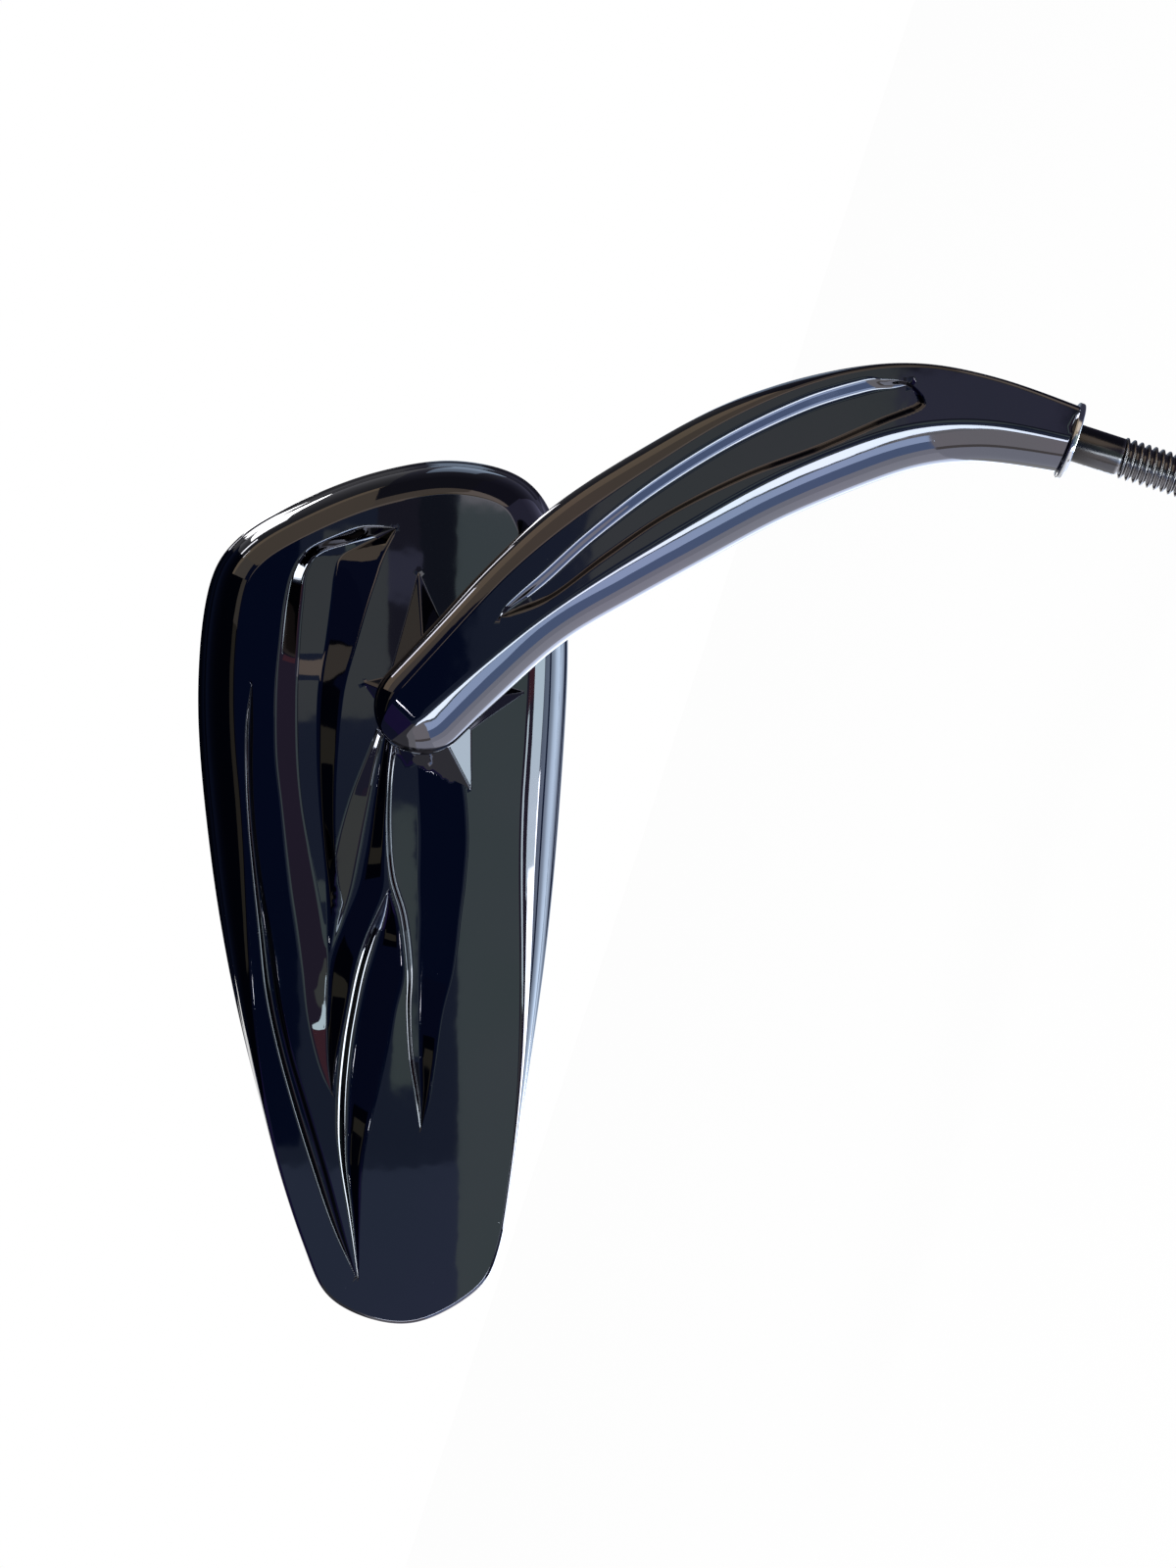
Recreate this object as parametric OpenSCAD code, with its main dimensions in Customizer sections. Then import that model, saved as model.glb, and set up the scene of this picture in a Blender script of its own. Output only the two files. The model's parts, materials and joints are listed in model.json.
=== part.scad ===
// Right-hand motorcycle mirror, millimetres.
// Mounted position: +Z up, the mounting stud points down -Z, the glass faces +Y.
// The origin is the centre of the collar washer's seat face.
// The castings are drawn on a drawing plane (x along the stud's side, y across it,
// z out of the cast back) and turned upright by upright().
// Everything in the head is drawn in the head's own axes: u across, v along, w out of
// the cast back, with u = v = w = 0 on the back's surface over the ball joint.

/* [Head] */
// Greatest width over the glass lip
head_width = 75.2; // [70:0.1:80]
// Greatest length over the glass lip
head_length = 174.2; // [165:0.1:185]
// Depth from the cast back to the lip plane, at the ball joint
head_depth = 20; // [20:0.1:22]
// Slope of the lip plane towards the narrow tip, degrees, for a head 174.2 long
lip_taper = 4; // [3:0.1:4.5]
// Width of the rim between the lip and the relief field, wide end
rim_wide = 8.4; // [7.5:0.1:9.5]
// Width of the rim at the narrow tip
rim_tip = 1.2; // [1:0.1:2]
// Wall thickness of the casting
wall = 2.4; // [2:0.1:3]
// Depth of the deepest flame hollow in the relief field
hollow_depth = 2.2; // [1.6:0.1:2.4]
// Roll of the head about its long axis, degrees
head_roll = -3; // [-5:0.5:3]

/* [Glass] */
// Thickness of the mirror glass
glass_t = 2.0; // [1.8:0.1:2.5]
// Thickness of the foam pad
foam_t = 1.0; // [0.8:0.1:1.2]
// Thickness of the backing plate
plate_t = 1.4; // [1.2:0.1:1.6]
// How far the glass lies inside the lip
glass_recess = 0.6; // [0.4:0.1:0.8]

/* [Ball joint] */
// Diameter of the ball
ball_d = 10; // [9.6:0.1:10.4]
// Thickness of the ball seat and of the pressure cup
seat_t = 1.94; // [1.8:0.02:2.1]
// Diameter of the ball stud's neck
neck_d = 5.2; // [4.8:0.1:5.6]
// Diameter of the ball stud's threaded end
ball_thread_d = 6; // [5.6:0.1:6.4]
// Gap between the star boss and the arm
arm_gap = 3.5; // [3.5:0.1:5]

/* [Arm] */
// Straight distance between ball joint and stud seat
arm_chord = 134.1; // [125:0.1:145]
// Thickness of the arm, front face to underside
arm_t = 13; // [12.6:0.1:14]
// Depth of the long recess in the arm's face
recess_depth = 1.2; // [0.8:0.1:1.6]
// Angle between the stud and the drawing plane's x axis, degrees
stud_slope = 18; // [14:0.5:22]

/* [Mounting stud] */
// Outside diameter of the stud's thread, 5/16 inch
thread_d = 7.94; // [7.8:0.01:8.2]
// Diameter of the plain shank
shank_d = 7.3; // [7:0.05:7.5]
// Length of the plain shank below the seat
shank_l = 9.5; // [8:0.1:12]
// Length of the thread below the shank
thread_l = 21.5; // [18:0.1:25]
// Length of the stud's end held in the arm
stud_hold = 15; // [12:0.1:18]
// Outside diameter of the collar washer
collar_d = 15; // [14:0.1:16]
// Thickness of the collar washer
collar_t = 1.2; // [1:0.1:1.5]

/* [Hidden] */
$fn = 48;
fit = 0.06;
loose = 0.1;

// Head sizes that follow from the ones above.
su = head_width / 75.2;
sv = head_length / 174.2;
lip_slope = tan(lip_taper) / sv;
lip_tilt = atan(lip_slope);
field_crown = 0.373;
field_u0 = -8;
field_v0 = -30 * sv;
field_ru = 260;
field_rv = 1800 * sv * sv;
band_share = 0.38;
band_drop = 1.3;
roof = 3.9;
over = 0.5;

// Glass rebate, measured inwards from the lip plane.
lip_wall = 1.6;
gasket_t = 0.9;
glass_in = lip_wall + loose + gasket_t;
glass_z1 = glass_recess + glass_t;
foam_z1 = glass_z1 + foam_t;
rebate = foam_z1 + plate_t;

// Ball joint heights on the w axis.
ball_r = ball_d / 2;
seat_ri = ball_r + fit;
seat_ro = seat_ri + seat_t;
socket_r = seat_ro + fit;
ball_w = -1;
boss_top = ball_w + socket_r - fit;
arm_under = boss_top + arm_gap;
mouth_r = 5.6;
cup_flat = seat_ro - 0.9;
clamp_w = ball_w - seat_ro - 1.6;
clamp_t = 1.5;
post_circle = 12.5;
post_r = 3.1;
screw_r = 1.5;
pilot_r = 1.62;
washer_t = 0.6;
screw_head_t = 1.8;
spring_wire = 0.7;
spring_r = 4.6;
spring_turns = 2;

// Arm and joint place on the drawing plane.
sa = arm_chord / 134.1;
joint_x = -124.4 * sa;
joint_y = -50.2 * sa;
arm_h = arm_t / 2;
arm_drop = -6;
back_z = arm_drop - arm_h - arm_under;
collar_hole = thread_d / 2 + 0.15;

// Lip outline, clockwise from the top of the wide end.
lip_pts = [[6.4, 51.2], [20.7, 47], [27.2, 35], [28.8, 14.4], [27.2, -16.7], [23.9, -50.7],
           [18.1, -88.8], [15, -107.5], [10.2, -116.4], [-3.9, -123], [-19, -118.2],
           [-25.1, -106.6], [-32.2, -84], [-38.7, -58.5], [-43.6, -30.5], [-46.4, 0],
           [-44.6, 24], [-38.6, 35], [-25.1, 43.1], [-9.5, 49]];

// Flame hollows, from their tips down: [left u, left v, right u, right v, floor from, floor to]
// with the floor's edges as shares of the way from left to right.
sickle = [[-34.7, 4.6, -34.5, 4.6, 0.4, 0.6], [-35.7, -3, -34.4, -3.2, 0.3, 0.65],
          [-35.8, -12, -34.5, -12.5, 0.3, 0.65], [-35.3, -22, -34, -23, 0.28, 0.68],
          [-34.3, -33, -32.6, -34.5, 0.28, 0.68], [-33.1, -44, -30.7, -45.5, 0.25, 0.7],
          [-31.8, -56, -28.9, -58, 0.25, 0.7], [-29.6, -66.8, -26.6, -68.6, 0.25, 0.7],
          [-26.6, -78, -23.2, -80, 0.25, 0.7], [-22.9, -90, -19.8, -91.6, 0.25, 0.7],
          [-18.7, -102.5, -16.6, -103.6, 0.3, 0.65], [-14.2, -112.6, -14, -112.7, 0.4, 0.6]];
bolt = [[-6.3, 35.7, -6.1, 35.5, 0.4, 0.6], [-12.5, 35.9, -7.7, 32.5, 0.45, 0.6],
        [-18, 34.1, -8.5, 30.6, 0.33, 0.52], [-23.4, 31.3, -9.2, 28.6, 0.16, 0.46],
        [-26.3, 27.2, -10, 26, 0.14, 0.5], [-27.9, 21.2, -11.6, 21.2, 0.19, 0.56],
        [-28.9, 13, -14, 13, 0.23, 0.61], [-29.8, 3, -16.7, 3, 0.3, 0.65],
        [-29.8, -9, -17.9, -9, 0.34, 0.7], [-28.7, -19, -18.4, -19, 0.36, 0.75],
        [-27.8, -28, -18.2, -28.8, 0.46, 0.8], [-26.9, -36, -16.4, -36.5, 0.48, 0.7],
        [-25.7, -44, -14.6, -44, 0.45, 0.56], [-24.6, -52, -14.4, -51, 0.44, 0.48],
        [-23.5, -61, -16.2, -60, 0.45, 0.5], [-21.4, -70, -18, -69, 0.45, 0.55],
        [-19, -76.1, -18.8, -76.1, 0.45, 0.55]];
scoop = [[-9.6, -4, -7.4, -6, 0.4, 0.7], [-12.4, -11, -7.9, -12, 0.45, 0.75],
         [-15, -17.6, -8.2, -18.6, 0.5, 0.72], [-17, -24.1, -8.5, -25, 0.5, 0.7],
         [-18.3, -29.5, -8.7, -30, 0.48, 0.66], [-19.4, -36, -9, -36, 0.42, 0.58],
         [-20.6, -43, -11.5, -42.6, 0.38, 0.5], [-22, -50, -14.3, -50.4, 0.38, 0.46],
         [-22, -58, -15.8, -58, 0.4, 0.48], [-21, -68, -17.9, -68, 0.45, 0.55],
         [-19, -76.1, -18.8, -76.1, 0.45, 0.55]];
spear = [[-7.8, -36.2, -7.6, -36.3, 0.35, 0.6], [-9.6, -40.6, -6.3, -41.6, 0.25, 0.5],
         [-11.8, -45.6, -5.5, -46.6, 0.16, 0.42], [-13.8, -52, -5, -53, 0.12, 0.3],
         [-15.2, -59, -6.6, -60, 0.11, 0.28], [-16.5, -66.5, -7.9, -67.5, 0.12, 0.27],
         [-17.4, -75, -9.9, -76, 0.14, 0.3], [-17.6, -83, -12, -84, 0.18, 0.36],
         [-16.9, -91, -13.2, -91.5, 0.22, 0.42], [-15.4, -101, -13.5, -101, 0.3, 0.5],
         [-13.7, -113, -13.5, -113, 0.4, 0.6]];
lance = [[-6.6, -6, 3.4, -6.5, 0.06, 0.45], [-7.6, -14, 6.8, -14, 0.04, 0.4],
         [-7.9, -24.5, 7.9, -24.5, 0.04, 0.41], [-7.2, -33.5, 7.4, -33.5, 0.05, 0.39],
         [-5, -41.5, 6.3, -42, 0.07, 0.33], [-3.8, -52, 5, -52, 0.08, 0.27],
         [-3.9, -60, 2.8, -60.5, 0.08, 0.38], [-3.4, -69, 1.4, -69.5, 0.1, 0.46],
         [-2.2, -77, 0.2, -77.3, 0.2, 0.5], [-1.4, -83.4, -1.2, -83.4, 0.4, 0.6]];
// Each hollow with its share of the full depth.
hollows = [[sickle, 0.55], [bolt, 1], [scoop, 0.8], [spear, 0.85], [lance, 0.75]];

// Star boss: tips of its ridges [u, v, half width at the middle].
star = [[-1.7, 27, 8.5], [19.6, 3.2, 9], [8.8, -16.5, 8], [-12.5, 5, 8.5], [9, 16, 8]];

// Arm line on the drawing plane: [x, y, half width, face edge above, face edge below].
arm_line = [[-124.4, -50.2, 9.5, 5.2, 1.8], [-115.6, -41.3, 9.7, 5.7, 2.8],
            [-103.8, -29.8, 10.5, 6.5, 4.6], [-91.1, -20.5, 12, 7.4, 5.2],
            [-75.8, -11.5, 12.5, 8.6, 5], [-61.4, -3.8, 12.5, 9.6, 4.6],
            [-46, 1.8, 11.7, 10.4, 3.6], [-31.3, 5, 10.1, 9.6, 2.5],
            [-16.5, 4.2, 8, 7.5, 1.2], [-1.14, 0.37, 6.4, 5.6, 0.6]];

// Long recess in the arm's face as edge pairs on the drawing plane.
recess = [[-108.6, -31.4, -107.4, -33.6], [-101.5, -25.6, -99.3, -29.7],
          [-92.5, -17.5, -88.8, -22], [-80, -7.6, -77, -14.1], [-66, 1.2, -62.6, -7],
          [-52, 7.9, -48.8, -2], [-40, 11.4, -36.6, 3.2], [-36, 11.2, -28, 6.6]];

// Smooth curve through points, and its samples.
function cr(a, b, c, d, t) =
    0.5 * ((2 * b) + (c - a) * t + (2 * a - 5 * b + 4 * c - d) * t * t
           + (3 * b - a - 3 * c + d) * t * t * t);
function closed_curve(p, k) =
    let(n = len(p))
    [for (i = [0:n - 1], j = [0:k - 1])
        cr(p[(i + n - 1) % n], p[i], p[(i + 1) % n], p[(i + 2) % n], j / k)];
function open_curve(p, k) =
    let(n = len(p))
    concat([for (i = [0:n - 2], j = [0:k - 1])
        cr(p[max(i - 1, 0)], p[i], p[i + 1], p[min(i + 2, n - 1)], j / k)], [p[n - 1]]);
function unit(a) = a / norm(a);
function smooth(t) = let(s = min(max(t, 0), 1)) s * s * (3 - 2 * s);

// The lip outline with its inward normals.
lip = [for (p = closed_curve(lip_pts, 5)) [p[0] * su, p[1] * sv]];
n_lip = len(lip);
lip_in = [for (i = [0:n_lip - 1])
    let(d = unit(lip[(i + 1) % n_lip] - lip[(i + n_lip - 1) % n_lip])) [d[1], -d[0]]];

// Surfaces of the head.
function lip_w(v) = -head_depth - lip_slope * v;
function field_w(u, v) =
    field_crown - pow(u - field_u0, 2) / (2 * field_ru) - pow(v - field_v0, 2) / (2 * field_rv);
function rim(v) = rim_tip + (rim_wide - rim_tip) * (1 - smooth((-15 * sv - v) / (80 * sv)));
function band(v) = band_drop * rim(v) / rim_wide;

// A ring of points: share q of the rim, at height h between lip and rim edge.
function rim_point(i, q, inset) = lip[i] + lip_in[i] * (rim(lip[i][1]) * q + inset);
function rim_ring(q, h) =
    [for (i = [0:n_lip - 1])
        let(p = rim_point(i, q, 0), e = rim_point(i, 1 - band_share, 0),
            lo = lip_w(p[1]), hi = field_w(e[0], e[1]) - band(p[1]))
        [p[0], p[1], lo + (hi - lo) * h]];
// A ring inside the casting: share s of the way from the rebate's floor to the roof.
function room_ring(q, s) =
    [for (i = [0:n_lip - 1])
        let(p = rim_point(i, q, wall), e = rim_point(i, 1 - band_share, wall),
            lo = lip_w(p[1]) + rebate / cos(lip_tilt), hi = field_w(e[0], e[1]) - band(p[1]) - wall)
        [p[0], p[1], lo + (hi - lo) * s]];
// A ring on the relief field: share f of the way from the field's edge to its middle.
field_mid = [-8 * su, -22 * sv];
function field_ring(f, drop, inset) =
    [for (i = [0:n_lip - 1])
        let(e = rim_point(i, 1, inset), p = e + (field_mid - e) * f)
        [p[0], p[1], field_w(p[0], p[1]) - drop]];
function lip_ring(inset, z) =
    [for (i = [0:n_lip - 1])
        let(p = lip[i] + lip_in[i] * inset)
        [p[0], p[1] + z * sin(lip_tilt), lip_w(p[1]) + z * cos(lip_tilt)]];

// Skin over rings of equal length, closed at both ends by fans.
function mean(r) = [for (k = [0:2]) [for (p = r) p[k]] * [for (p = r) 1] / len(r)];
module skin(rings, first, last) {
    n = len(rings[0]);
    m = len(rings);
    pts = concat([for (r = rings, p = r) p], [first, last]);
    sides = [for (j = [0:m - 2], i = [0:n - 1], s = [0, 1])
        let(a = j * n + i, b = j * n + (i + 1) % n)
        s == 0 ? [a, b, b + n] : [a, b + n, a + n]];
    start = [for (i = [0:n - 1]) [m * n, (i + 1) % n, i]];
    end = [for (i = [0:n - 1]) [m * n + 1, (m - 1) * n + i, (m - 1) * n + (i + 1) % n]];
    polyhedron(points = pts, faces = concat(sides, start, end), convexity = 10);
}

// Link between two four-point sections.
module link(a, b) {
    hull() polyhedron(points = concat(a, b),
        faces = [[0, 1, 2, 3], [7, 6, 5, 4], [0, 4, 5, 1], [1, 5, 6, 2], [2, 6, 7, 3],
                 [3, 7, 4, 0]]);
}

// One station of a hollow: the walls run from the floor up through the edge points.
function hollow_section(s, depth) =
    let(l = [s[0] * su, s[1] * sv], r = [s[2] * su, s[3] * sv],
        d = max(min(depth, norm(r - l) * 0.35), 0.05),
        fl = l + (r - l) * s[4], fr = l + (r - l) * s[5], up = over / d,
        tl = l + (l - fl) * up, tr = r + (r - fr) * up)
    [[tl[0], tl[1], field_w(l[0], l[1]) + over], [tr[0], tr[1], field_w(r[0], r[1]) + over],
     [fr[0], fr[1], field_w(fr[0], fr[1]) - d], [fl[0], fl[1], field_w(fl[0], fl[1]) - d]];
module hollow(stations, depth) {
    s = open_curve(stations, 2);
    for (i = [0:len(s) - 2]) {
        link(hollow_section(s[i], depth), hollow_section(s[i + 1], depth));
    }
}

// One ridge of the star boss, from the boss's middle down to its tip.
module star_ridge(s) {
    tip = [s[0] * su, s[1] * sv];
    side = unit([tip[1], -tip[0]]) * s[2];
    w = field_w(tip[0], tip[1]);
    hull() polyhedron(
        points = [[side[0], side[1], -roof / 2], [-side[0], -side[1], -roof / 2],
                  [tip[0], tip[1], w - roof / 2], [side[0], side[1], 0.6],
                  [-side[0], -side[1], 0.6], [tip[0], tip[1], w + 0.05], [0, 0, boss_top * 0.86]],
        faces = [[0, 1, 2], [3, 5, 6], [5, 4, 6], [4, 3, 6], [0, 3, 4, 1], [1, 4, 5, 2],
                 [2, 5, 3, 0]]);
}

// Placings.
module upright() {
    rotate([0, 90 - stud_slope, 0]) rotate([90, 0, 0]) children();
}
module in_head() {
    upright() translate([joint_x, joint_y, back_z]) rotate([0, -head_roll, 0]) children();
}
module in_lip() {
    in_head() translate([0, 0, -head_depth]) rotate([-lip_tilt, 0, 0]) children();
}
module at_posts(k) {
    rotate([0, 0, 90 + 120 * k]) translate([post_circle, 0, 0]) children();
}

// Flat sheet with the lip's outline, inset, between two heights over the lip plane.
module lip_sheet(inset, z0, z1) {
    translate([0, 0, z0]) linear_extrude(height = z1 - z0)
        polygon([for (i = [0:n_lip - 1])
            let(p = lip[i] + lip_in[i] * inset) [p[0], p[1] / cos(lip_tilt)]]);
}

// Outer form of the cast head, without its relief.
module head_form() {
    rings = concat(
        [lip_ring(0, 0)],
        [for (s = [[0, 0.08], [0.03, 0.12], [0.1, 0.18], [0.17, 0.3], [0.23, 0.46],
                   [0.29, 0.62], [0.36, 0.77], [0.46, 0.89], [0.55, 0.96], [0.62, 1]])
            rim_ring(s[0], s[1])],
        [for (f = [0, 0.03, 0.12, 0.25, 0.4, 0.55, 0.7, 0.85]) field_ring(f, 0, 0)]);
    m = field_mid;
    skin(rings, mean(rings[0]), [m[0], m[1], field_w(m[0], m[1])]);
}

// Room inside the casting, open at the lip.
module head_room() {
    rings = concat(
        [lip_ring(lip_wall, -1), lip_ring(lip_wall, rebate)],
        [for (s = [[0.17, 0], [0.25, 0.3], [0.34, 0.65], [0.5, 0.88]]) room_ring(s[0], s[1])],
        [field_ring(0, wall + band_drop, wall), field_ring(0.1, roof, wall),
         field_ring(0.5, roof, wall)]);
    m = field_mid;
    skin(rings, mean(rings[0]), [m[0], m[1], field_w(m[0], m[1]) - roof]);
}

module housing() {
    color("#1b1d22") in_head() difference() {
        union() {
            difference() {
                head_form();
                head_room();
                for (h = hollows) {
                    hollow(h[0], hollow_depth * h[1]);
                }
            }
            for (s = star) {
                star_ridge(s);
            }
            translate([0, 0, -roof]) cylinder(h = boss_top + roof, r1 = 9.4, r2 = 7.4, $fn = 40);
            translate([0, 0, ball_w - 4.4]) cylinder(h = 4.4, r = socket_r + 1.9, $fn = 40);
            for (k = [0:2]) {
                at_posts(k) translate([0, 0, clamp_w]) cylinder(h = -clamp_w - 1, r = post_r, $fn = 24);
            }
        }
        translate([0, 0, ball_w]) sphere(r = socket_r);
        translate([0, 0, ball_w - 12]) cylinder(h = 12, r = socket_r);
        translate([0, 0, ball_w]) cylinder(h = 14, r = mouth_r);
        for (k = [0:2]) {
            at_posts(k) translate([0, 0, clamp_w - 1]) cylinder(h = 7.5, r = pilot_r, $fn = 24);
        }
    }
}

// Section of the arm across its line: [across, up].
function arm_section(hw, up, down, k) =
    let(a = up + (hw - up) * k, b = down + (hw - down) * k, h = arm_h)
    [[up, h], [up + (hw - up) * 0.55, h * 0.8], [up + (hw - up) * 0.9, h * 0.45], [hw, 0],
     [hw * 0.96, -h * 0.4], [hw * 0.84, -h * 0.75], [hw * 0.6, -h * 0.95], [hw * 0.25, -h],
     [-hw * 0.25, -h], [-hw * 0.6, -h * 0.95], [-hw * 0.84, -h * 0.75], [-hw * 0.96, -h * 0.4],
     [-hw, 0], [-down - (hw - down) * 0.88, h * 0.42], [-down - (hw - down) * 0.52, h * 0.78],
     [-down, h]];
arm_stations = [for (s = open_curve(arm_line, 4)) [s[0] * sa, s[1] * sa, s[2], s[3], s[4]]];
n_arm = len(arm_stations);
stud_dir = [cos(stud_slope), -sin(stud_slope)];
function arm_dir(i) =
    i == n_arm - 1 ? stud_dir
    : unit([for (k = [0, 1]) arm_stations[min(i + 1, n_arm - 1)][k] - arm_stations[max(i - 1, 0)][k]]);
function arm_z(x) = arm_drop * min(max(x / joint_x, 0), 1);
function arm_ring(c, d, z, hw, up, down, sw, sh) =
    [for (p = arm_section(hw, up, down, 0))
        [c[0] - d[1] * p[0] * sw, c[1] + d[0] * p[0] * sw, z + p[1] * sh]];
module arm_form() {
    s0 = arm_stations[0];
    d0 = arm_dir(0);
    dome = [for (a = [80, 66, 52, 38, 25, 12])
        let(c = [s0[0], s0[1]] - d0 * s0[2] * sin(a))
        arm_ring(c, d0, arm_drop, s0[2], s0[3] * cos(a), s0[4] * cos(a), cos(a),
                 pow(cos(a), 0.55))];
    line = [for (i = [0:n_arm - 1])
        let(s = arm_stations[i])
        arm_ring([s[0], s[1]], arm_dir(i), arm_z(s[0]), s[2], s[3], s[4], 1, 1)];
    tip = [s0[0], s0[1]] - d0 * s0[2];
    last = arm_stations[n_arm - 1];
    skin(concat(dome, line), [tip[0], tip[1], arm_drop], [last[0], last[1], arm_z(last[0])]);
}
function recess_section(s) =
    let(l = [s[0], s[1]] * sa, r = [s[2], s[3]] * sa, z = arm_z((l[0] + r[0]) / 2) + arm_h,
        e = unit(r - l) * 0.45)
    [[l[0] - e[0], l[1] - e[1], z + 1], [r[0] + e[0], r[1] + e[1], z + 1],
     [r[0] - e[0], r[1] - e[1], z - recess_depth], [l[0] + e[0], l[1] + e[1], z - recess_depth]];

module arm() {
    color("#1b1d22") difference() {
        upright() difference() {
            arm_form();
            s = open_curve(recess, 2);
            for (i = [0:len(s) - 2]) {
                link(recess_section(s[i]), recess_section(s[i + 1]));
            }
        }
        in_head() cylinder(h = arm_under + 9.5, r = ball_thread_d / 2 + 0.05);
        translate([0, 0, collar_t]) cylinder(h = stud_hold - collar_t + 0.5, r = thread_d / 2 + 0.05);
        translate([0, 0, -5 + collar_t]) cube([40, 40, 10], center = true);
    }
}

// Double-ended stud: the upper thread is held in the arm, the lower one fixes the mirror.
module mounting_stud() {
    r = thread_d / 2;
    c = 1;
    color("#b9bbbd") rotate_extrude()
        polygon([[0, -shank_l - thread_l], [r - c, -shank_l - thread_l],
                 [r, -shank_l - thread_l + c], [r, -shank_l], [shank_d / 2, -shank_l],
                 [shank_d / 2, collar_t], [r, collar_t], [r, stud_hold - c],
                 [r - c, stud_hold], [0, stud_hold]]);
}

module collar_washer() {
    r = collar_d / 2;
    color("#c9cbcc") rotate_extrude()
        polygon([[collar_hole, 0], [r - 0.25, 0], [r, 0.25], [r, collar_t - 0.25],
                 [r - 0.25, collar_t], [collar_hole, collar_t]]);
}

// Ball with its neck, a small shoulder under the arm and the threaded end in the arm.
module ball_stud() {
    shoulder_t = 1;
    color("#8d9094") in_head() union() {
        translate([0, 0, ball_w]) sphere(r = ball_r);
        translate([0, 0, ball_w]) cylinder(h = arm_under - ball_w, r = neck_d / 2);
        translate([0, 0, arm_under - shoulder_t - 0.3]) cylinder(h = shoulder_t, r = 4.4);
        translate([0, 0, arm_under - 0.5]) cylinder(h = 9, r = ball_thread_d / 2);
    }
}

// Spherical ring above the ball.
module ball_seat() {
    color("#e6e2d6") in_head() translate([0, 0, ball_w]) difference() {
        sphere(r = seat_ro);
        sphere(r = seat_ri);
        translate([0, 0, -8 + seat_ro * cos(78)]) cube([20, 20, 16], center = true);
        cylinder(h = 10, r1 = 0, r2 = 10 * tan(53));
    }
}

// Spherical cup under the ball, pressed up by the spring.
module pressure_cup() {
    color("#e6e2d6") in_head() translate([0, 0, ball_w]) difference() {
        sphere(r = seat_ro);
        sphere(r = seat_ri);
        translate([0, 0, 8 - seat_ro * cos(78)]) cube([20, 20, 16], center = true);
        translate([0, 0, -cup_flat - 4]) cube([20, 20, 8], center = true);
    }
}

// Open coil between the cup and the clamp plate.
module pressure_spring() {
    z0 = clamp_w + spring_wire / 2;
    z1 = ball_w - sqrt(pow(seat_ro, 2) - pow(spring_r - spring_wire / 2, 2)) - spring_wire / 2 - 0.15;
    steps = round(18 * spring_turns);
    rings = [for (j = [0:steps])
        let(a = 360 * spring_turns * j / steps, z = z0 + (z1 - z0) * j / steps)
        [for (i = [0:9]) let(b = -36 * i, r = spring_r + spring_wire / 2 * cos(b))
            [r * cos(a), r * sin(a), z + spring_wire / 2 * sin(b)]]];
    color("#9a9da1") in_head() skin(rings, mean(rings[0]), mean(rings[len(rings) - 1]));
}

module clamp_plate() {
    color("#a7a9ac") in_head() translate([0, 0, clamp_w - clamp_t]) difference() {
        linear_extrude(height = clamp_t) hull() {
            for (k = [0:2]) {
                at_posts(k) circle(r = post_r + 0.4);
            }
        }
        translate([0, 0, -1]) cylinder(h = clamp_t + 2, r = 3);
        for (k = [0:2]) {
            at_posts(k) translate([0, 0, -1]) cylinder(h = clamp_t + 2, r = pilot_r);
        }
    }
}

module clamp_screw(k) {
    top = clamp_w - clamp_t - washer_t;
    color("#8d9094") in_head() at_posts(k) difference() {
        union() {
            translate([0, 0, top]) cylinder(h = clamp_t + washer_t + 6, r = screw_r);
            translate([0, 0, top - screw_head_t]) cylinder(h = screw_head_t, r = 2.75);
        }
        translate([0, 0, top - screw_head_t - 1]) cylinder(h = 2.1, r = 1.15, $fn = 6);
    }
}
module clamp_screw_1() {
    clamp_screw(0);
}
module clamp_screw_2() {
    clamp_screw(1);
}
module clamp_screw_3() {
    clamp_screw(2);
}

// Split spring washer.
module lock_washer(k) {
    color("#a7a9ac") in_head() at_posts(k) translate([0, 0, clamp_w - clamp_t - washer_t]) difference() {
        cylinder(h = washer_t, r = 2.7);
        translate([0, 0, -1]) cylinder(h = washer_t + 2, r = pilot_r);
        translate([0, -0.25, -1]) cube([4, 0.5, washer_t + 2]);
    }
}
module lock_washer_1() {
    lock_washer(0);
}
module lock_washer_2() {
    lock_washer(1);
}
module lock_washer_3() {
    lock_washer(2);
}

module backing_plate() {
    color("#232323") in_lip() lip_sheet(lip_wall + loose, foam_z1, rebate);
}
module foam_pad() {
    color("#3a3a3a") in_lip() lip_sheet(glass_in + 0.8, glass_z1, foam_z1);
}
module mirror_glass() {
    color("#cfd6da") in_lip() lip_sheet(glass_in, glass_recess, glass_z1);
}
module glass_gasket() {
    color("#141414") in_lip() difference() {
        lip_sheet(lip_wall + loose, glass_recess, foam_z1);
        lip_sheet(glass_in, glass_recess - 1, foam_z1 + 1);
    }
}

arm();
mounting_stud();
collar_washer();
ball_stud();
ball_seat();
pressure_cup();
pressure_spring();
clamp_plate();
clamp_screw_1();
clamp_screw_2();
clamp_screw_3();
lock_washer_1();
lock_washer_2();
lock_washer_3();
housing();
backing_plate();
foam_pad();
mirror_glass();
glass_gasket();
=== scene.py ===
# %% [markdown]
# # A cast motorcycle mirror in Blender
# The object is a right-hand motorcycle mirror: a die-cast head with flame-shaped hollows, a
# curved arm and a threaded mounting stud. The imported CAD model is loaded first. It gives the
# moving bodies and the plain solids, and each piece that gets a finer shape here rides on a
# body and stands for its solid.

# %% Load the frame
import json
import math

import bmesh
import bpy
import numpy as np
from mathutils import Matrix, Vector
from mathutils.geometry import delaunay_2d_cdt

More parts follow.
